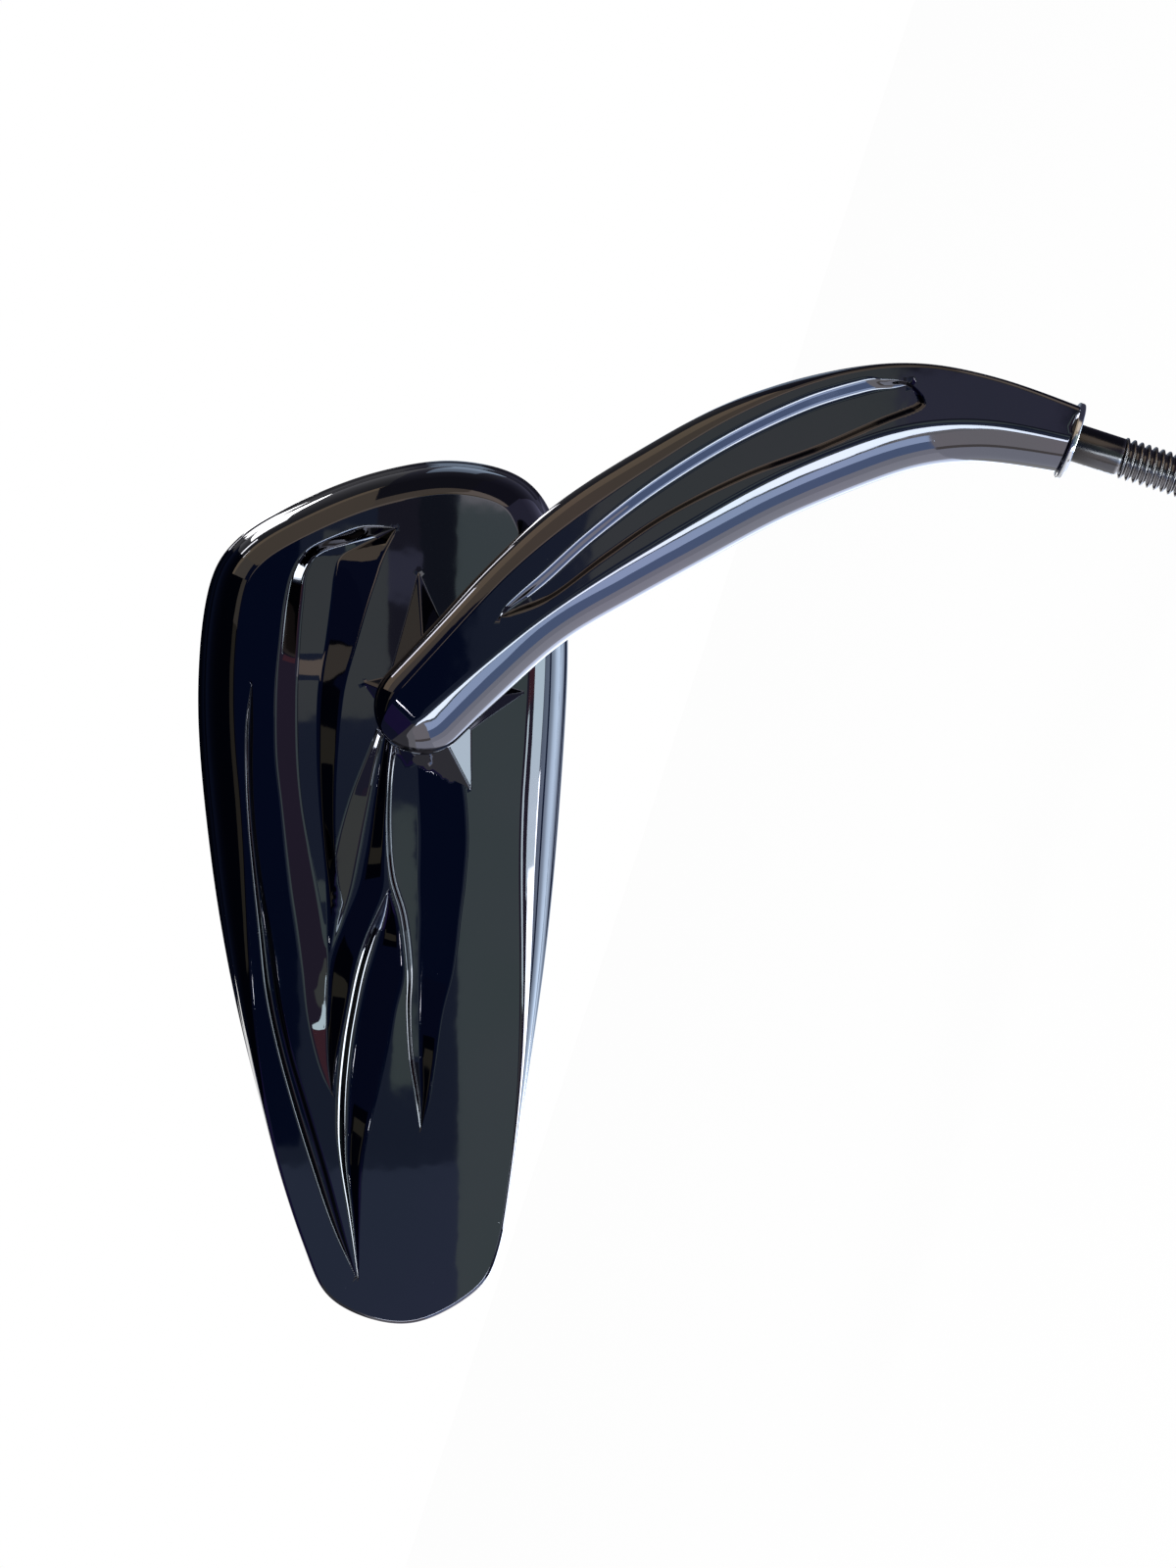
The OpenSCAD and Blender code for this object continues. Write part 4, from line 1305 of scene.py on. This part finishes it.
def black_chrome():
    m = Material("black_chrome", Metallic=1.0)
    color = m.blend(m.noise(18, 3).above(0.35, 0.65), CHROME_BLUE, CHROME_VIOLET)
    speck = 1.0 - m.cells(420).above(0.03, 0.05)
    dust = speck * m.noise(160, 1).above(0.62, 0.66)
    haze = m.noise(55, 5, 0.6).above(0.5, 0.75)
    m.set(Base_Color=m.blend(dust, color, DUST_GREY),
          Roughness=0.035 + haze * 0.035 + dust * 0.3)
    m.bump(m.noise(110, 2), WAVE_HEIGHT, 0.35)
    return m.material


CHROME = black_chrome()
print("Nodes of the black chrome:", len(CHROME.node_tree.nodes))

# %% [markdown]
# ### Steels, mouldings and glass
# The stud is plated steel with the marks of its rolling, and its shank is blackened. The
# washer is polished, nylon and rubber are dull and slightly mottled, and the glass is a
# mirror with faint smears. Each family differs only in tone, roughness and grain, so one
# function makes each family.

# %% Turned steels
GRAIN_HEIGHT, SPLIT = 0.00001, 0.0008
SHANK_BLACK = rgba(0.075, 0.072, 0.075)


def turned_steel(name, tone, rough, dark_above=None):
    """Steel with fine grain and stains, blackened above a height if one is given."""
    m = Material(name, Metallic=1.0)
    grain = m.noise(900, 3)
    stain = m.noise(90, 4)
    color = m.blend(stain.above(0.3, 0.7), rgba(*[c * 0.75 for c in tone]), rgba(*tone))
    if dark_above is not None:
        axes = m.node("ShaderNodeSeparateXYZ", {}, {"Vector": m.coords})
        height = Value(m.tree, axes.outputs["Z"])
        color = m.blend(height.above(dark_above, dark_above + SPLIT), color, SHANK_BLACK)
    m.set(Base_Color=color, Roughness=rough + grain * 0.08 + stain.above(0.5, 0.8) * 0.08)
    m.bump(grain, GRAIN_HEIGHT, 0.3)
    return m.material


STUD_STEEL = turned_steel("stud_steel", (0.33, 0.32, 0.32), 0.16, THREAD_TOP * MM)
WASHER_STEEL = turned_steel("washer_steel", (0.62, 0.64, 0.68), 0.07)
JOINT_STEEL = turned_steel("joint_steel", (0.5, 0.5, 0.5), 0.2)


# %% Moulded pieces, rubber, foam and mirror glass
def moulded(name, light, dark, rough, scale=300, depth=0.00003):
    m = Material(name)
    grain = m.noise(scale, 4)
    m.set(Base_Color=m.blend(grain, rgba(*dark), rgba(*light)), Roughness=rough + grain * 0.15)
    m.bump(grain, depth, 0.5)
    return m.material


def mirror_face():
    m = Material("mirror", Metallic=1.0)
    smear = m.noise(25, 5, 0.65)
    fine = m.noise(700, 2)
    m.set(Base_Color=m.blend(smear, rgba(0.86, 0.89, 0.9), rgba(0.9, 0.92, 0.93)),
          Roughness=0.012 + smear.above(0.55, 0.8) * 0.02 + fine * 0.004)
    return m.material


NYLON = moulded("nylon", (0.8, 0.78, 0.7), (0.72, 0.7, 0.62), 0.35)
PLASTIC = moulded("backing_plastic", (0.03, 0.03, 0.03), (0.018, 0.018, 0.018), 0.45)
FOAM = moulded("foam", (0.09, 0.09, 0.09), (0.04, 0.04, 0.04), 0.8, 900, 0.0002)
RUBBER = moulded("rubber", (0.025, 0.025, 0.026), (0.015, 0.015, 0.016), 0.5, 500)
MIRROR = mirror_face()
print("Materials:", [material.name for material in bpy.data.materials])

# %% Each piece gets its material
NODE_MATERIALS = {
    "ball_stud": JOINT_STEEL, "ball_seat": NYLON, "pressure_cup": NYLON,
    "pressure_spring": JOINT_STEEL, "clamp_plate": JOINT_STEEL, "backing_plate": PLASTIC,
    "foam_pad": FOAM,
}
for k in (1, 2, 3):
    NODE_MATERIALS["clamp_screw_%d" % k] = JOINT_STEEL
    NODE_MATERIALS["lock_washer_%d" % k] = JOINT_STEEL
for name, material in NODE_MATERIALS.items():
    node = frame["nodes"][name]
    for slot in node.material_slots:
        slot.material = material
    if not node.material_slots:
        node.data.materials.append(material)
NEW_PIECES = [(head_casting, CHROME), (arm_casting, CHROME), (cut_glass, MIRROR),
              (threaded_stud, STUD_STEEL), (polished_collar, WASHER_STEEL),
              (rubber_ring, RUBBER)]
for obj, material in NEW_PIECES:
    obj.data.materials.append(material)
print("Pieces with a material:", len(NODE_MATERIALS) + len(NEW_PIECES))

# %% [markdown]
# ## Floor, light and camera
# A pale floor just under the stud, a white surround and soft lamps. The camera looks straight
# at the cast back, turned so that the stud points to the right of the picture.

# %% Floor and surround
# The camera's right, up and backward directions, and the point that cards and lamps face.
VIEW = np.array([[math.sin(STUD_SLOPE), 0, -math.cos(STUD_SLOPE)],
                 [math.cos(STUD_SLOPE), 0, math.sin(STUD_SLOPE)], [0, -1.0, 0]])
AIM = np.array([-0.09, 0, 0.08])
FLOOR_SIZE, FLOOR_GAP, FLOOR_WHITE = 8, 0.001, 0.965
SURROUND_LIGHT = 0.6


def seen_directly(tree):
    """1 for camera, glossy and transmission rays, 0 for the rays that carry light."""
    path = add_node(tree, "ShaderNodeLightPath", {}, {})
    camera, glossy, through = [Value(tree, path.outputs["Is %s Ray" % kind]) for kind in
                               ("Camera", "Glossy", "Transmission")]
    return (camera + glossy + through).math("MINIMUM", 1.0)


def make_floor():
    """A floor that the camera sees almost white, and that lamps and shadows find pale grey."""
    deselect()
    bpy.ops.mesh.primitive_plane_add(size=FLOOR_SIZE, location=(0, 0, cad_box[0][2] - FLOOR_GAP))
    floor = bpy.context.object
    floor.name = "floor"
    m = Material("floor_paint", Roughness=0.9)
    m.set(Base_Color=m.blend(m.noise(9, 3), rgba(0.86, 0.86, 0.86), rgba(0.89, 0.89, 0.89)))
    white = m.node("ShaderNodeEmission", {}, {"Color": rgba(1, 1, 1)})
    mix = m.node("ShaderNodeMixShader", {}, {
        "Fac": seen_directly(m.tree) * FLOOR_WHITE, 1: m.shader.outputs[0],
        2: white.outputs[0]})
    m.surface(mix.outputs[0])
    floor.data.materials.append(m.material)
    floor.visible_glossy = False
    return floor


def make_world():
    """White to the eye and a little dimmer as a light."""
    world = bpy.data.worlds.new("surround")
    bpy.context.scene.world = world
    world.use_nodes = True
    tree = world.node_tree
    back = tree.nodes["Background"]
    put(tree, rgba(1, 1, 1), back.inputs["Color"])
    put(tree, seen_directly(tree) * (1 - SURROUND_LIGHT) + SURROUND_LIGHT,
        back.inputs["Strength"])


floor = make_floor()
make_world()
print("Floor at %.4f m" % floor.location.z)


# %% [markdown]
# ### Cards for the reflections
# A mirror-bright black part is lit by what it reflects. Round the camera's axis stands a
# tunnel of plain cards: a dark curtain on the left, a brown board above, a grey wall behind
# the camera and a window low on the right. A photographed surround could be used instead,
# but plain cards can be placed one by one where a reflection is wanted. Each is given by the
# angle round the axis and by the angle away from it. They are seen in reflections only, so
# they add no light.

# %% Cards
# Radii of the tunnel and of the slits, which hang inside it and hide what is behind them.
CARD_R = 1.2
SLIT_R = CARD_R * 0.85
# The walls close the tunnel up to this angle. Each stands a step before the one listed above.
WALL_ANGLE, WALL_STEP = 26, 0.01
CARDS = [
    # name, round the axis from and to, away from it from and to, tone
    ("curtain_right_low", -45, -15, 26, 92, (0.1, 0.1, 0.17)),
    ("curtain_right", -15, 15, 26, 92, (0.13, 0.1, 0.17)),
    ("curtain_upper_right", 15, 45, 26, 172, (0.15, 0.15, 0.24)),
    ("board_right", 45, 75, 26, 60, (0.9, 0.75, 0.6)),
    ("curtain_back_right", 45, 75, 60, 172, (0.05, 0.05, 0.08)),
    ("board_top", 75, 105, 26, 60, (0.46, 0.37, 0.28)),
    ("ceiling", 75, 105, 60, 172, (0.05, 0.05, 0.07)),
    ("board_left", 105, 140, 26, 80, (0.5, 0.4, 0.29)),
    ("board_bright", 105, 155, 80, 104, (0.83, 0.64, 0.42)),
    ("ceiling_left", 105, 140, 104, 172, (0.1, 0.1, 0.11)),
    ("board_low", 140, 155, 60, 80, (0.45, 0.38, 0.3)),
    ("curtain_left_a", 140, 155, 26, 60, (0.02, 0.03, 0.09)),
    ("curtain_left_b", 140, 155, 104, 172, (0.004, 0.006, 0.016)),
    ("curtain_left", 155, 200, 26, 50, (0.015, 0.024, 0.08)),
    ("curtain_far_left", 155, 200, 50, 172, (0.004, 0.006, 0.016)),
    ("curtain_violet", 200, 225, 26, 60, (0.07, 0.05, 0.22)),
    ("curtain_low_left", 200, 225, 60, 150, (0.05, 0.06, 0.14)),
    ("curtain_low", 225, 255, 26, 150, (0.26, 0.26, 0.28)),
    ("window_strip", 264, 315, 22, 34, (8, 9, 9.5)),
    ("window_blue", 285, 315, 34, 44, (2.2, 2.8, 3.8)),
    ("window_frame", 285, 315, 44, 64, (0.6, 0.85, 1.4)),
    ("window_front", 285, 315, 64, 80, (1.4, 1.45, 1.6)),
    ("window_low", 264, 285, 34, 62, (1.2, 1.15, 1.15)),
    ("window_low_bar", 264, 285, 62, 70, (0.5, 0.45, 0.42)),
    ("window_low_back", 264, 285, 70, 130, (1.35, 1.4, 1.55)),
    ("window_side", 285, 315, 80, 120, (1.75, 1.8, 1.95)),
    ("window_back", 285, 315, 120, 172, (3.4, 3.8, 4.5)),
    ("window_sky", 315, 375, 92, 172, (0.85, 1.05, 1.35)),
]
SLITS = [
    # the same columns
    ("pink_cloth", 2, 16, 50, 66, (0.34, 0.13, 0.17)),
    ("wall_side", -25, -8, 40, 56, (0.35, 0.37, 0.33)),
    ("window_bar", -25, -3, 70, 102, (13, 14, 14)),
    ("window_slit", -4, 16, 66.5, 84, (4, 4.8, 5)),
    ("window_edge", -10, 1.5, 53, 60, (3.8, 4.6, 4.6)),
    ("window_corner", 321, 333, 30, 37, (2.2, 2.6, 2.8)),
    ("window_post", -20, 12, 122, 132, (0.05, 0.08, 0.2)),
    ("window_top", 122, 133, 136, 172, (5, 5, 5)),
    ("ceiling_lamp", 84, 100, 136, 172, (0.3, 0.38, 0.5)),
    ("shelf_corner", 155, 168, 50, 63, (0.3, 0.26, 0.2)),
    ("shelf_left", 168, 190, 55, 62.5, (0.14, 0.125, 0.09)),
    ("stroke_a", 136, 141, 98, 104, (8, 8, 8)),
    ("stroke_b", 130, 140, 120, 126, (6, 6, 6)),
]
WALLS = [
    # name, right from and to, up from and to, in degrees away from the axis, tone
    ("wall_navy", -27, 10, -30, 14, (0.085, 0.115, 0.2)),
    ("wall_left", -27, -8, -12, 14, (0.012, 0.026, 0.09)),
    ("wall_low", -12, 10, -30, -12.8, (0.17, 0.22, 0.35)),
    ("wall_olive", 9.6, 27, -30, 11, (0.36, 0.46, 0.45)),
    ("wall_black", 5.4, 9.6, 1.5, 12.5, (0.05, 0.06, 0.09)),
    ("wall_dim", 0.6, 5.4, 2.5, 12.5, (0.08, 0.08, 0.12)),
    ("wall_grey", 1.8, 5.6, 7.4, 9.2, (0.22, 0.23, 0.34)),
    ("wall_patch", -5.2, 1.8, 3.2, 9.8, (0.32, 0.36, 0.35)),
    ("wall_floor_patch", 2.2, 4.8, -10, 0, (0.34, 0.43, 0.41)),
    ("wall_brown", -27, 3, 12.5, 30, (0.8, 0.65, 0.5)),
    ("wall_brown_right", 3, 27, 15, 30, (0.42, 0.33, 0.2)),
    ("lamp_spot", -19.2, -18.1, -7.7, -6.7, (30, 30, 30)),
]


# %% Hang the cards
def card(name, corners, tone):
    """A plane seen in reflections only. Corners are right, up and toward the camera."""
    deselect()
    bpy.ops.mesh.primitive_plane_add(size=1)
    obj = bpy.context.object
    obj.name = name
    # A plane's corners come row by row, these go round it.
    for vertex, k in zip(obj.data.vertices, (0, 1, 3, 2)):
        vertex.co = AIM + np.array(corners[k]) @ VIEW
    m = Material(name)
    strength = max(tone)
    glow = m.node("ShaderNodeEmission", {}, {
        "Color": rgba(*[c / strength for c in tone]), "Strength": strength})
    m.surface(glow.outputs[0])
    obj.data.materials.append(m.material)
    obj.visible_camera = obj.visible_diffuse = obj.visible_shadow = False
    obj.visible_transmission = False


def tunnel_card(radius, name, round_from, round_to, away_from, away_to, tone):
    corners = []
    for turn, away in ((round_from, away_from), (round_to, away_from), (round_to, away_to),
                       (round_from, away_to)):
        t, a = math.radians(turn), math.radians(away)
        corners.append((radius * math.cos(t), radius * math.sin(t), radius / math.tan(a)))
    card(name, corners, tone)


def wall_card(layer, name, left, right, low, high, tone):
    at = CARD_R / math.tan(math.radians(WALL_ANGLE)) - WALL_STEP * layer
    l, r, d, u = [at * math.tan(math.radians(x)) for x in (left, right, low, high)]
    card(name, [(l, d, at), (r, d, at), (r, u, at), (l, u, at)], tone)


for row in CARDS:
    tunnel_card(CARD_R, *row)
for row in SLITS:
    tunnel_card(SLIT_R, *row)
for layer, row in enumerate(WALLS):
    wall_card(layer, *row)
print("Cards:", len(CARDS) + len(SLITS) + len(WALLS))


# %% [markdown]
# ### Lamps and camera
# Two soft lamps carry the light that the pale pieces and the floor's shadow need. The
# castings don't show them, because their shine comes from the cards. The camera could be moved
# about until the picture fits. Here its place and lens are worked out: from the pixel where
# the washer's seat lies in the photograph, and from the scale there, which the known pitch of
# the stud's thread gives.

# %% Lamps
LAMP_FAR, LAMP_SIZE = 1.6, 0.9


def soft_lamp(name, direction, power):
    """A square lamp in a direction given as right, up and toward the camera."""
    way = unit(direction @ VIEW)
    lamp = bpy.data.lights.new(name, "AREA")
    lamp.size, lamp.energy = LAMP_SIZE, power
    obj = bpy.data.objects.new(name, lamp)
    obj.location = AIM + way * LAMP_FAR
    obj.rotation_mode = "QUATERNION"
    obj.rotation_quaternion = Vector(way).to_track_quat("Z", "Y")
    obj.visible_glossy = False
    bpy.context.scene.collection.objects.link(obj)
    print(name, "at", [round(c, 2) for c in obj.location])


soft_lamp("key_light", np.array([-0.9, 0.3, 0.6]), 14)
soft_lamp("fill_light", np.array([0.2, 0.6, 0.9]), 6)

# %% Camera
PICTURE_WIDE, PICTURE_HIGH = 1200, 1600
SEAT_RIGHT, SEAT_DOWN = 1095, 451
MM_PER_PIXEL, CAMERA_FAR, SENSOR = 0.187, 600, 36
# Right, up and toward the viewer from the seat, which is the frame's origin.
offset = np.array([(PICTURE_WIDE / 2 - SEAT_RIGHT) * MM_PER_PIXEL,
                   (SEAT_DOWN - PICTURE_HIGH / 2) * MM_PER_PIXEL, CAMERA_FAR])
CAMERA_AT = np.round(offset @ VIEW * MM, 6)
LENS = round(SENSOR * CAMERA_FAR / (PICTURE_HIGH * MM_PER_PIXEL), 2)
camera = bpy.data.objects.new("camera", bpy.data.cameras.new("camera"))
bpy.context.scene.collection.objects.link(camera)
camera.location = CAMERA_AT
camera.rotation_mode = "QUATERNION"
camera.rotation_quaternion = Matrix(VIEW.T.tolist()).to_quaternion()
camera.data.lens = LENS
camera.data.clip_start = 0.01
bpy.context.scene.camera = camera
bpy.context.scene.view_settings.view_transform = "Standard"
print("Camera at", CAMERA_AT.tolist(), "m, lens", LENS, "mm")
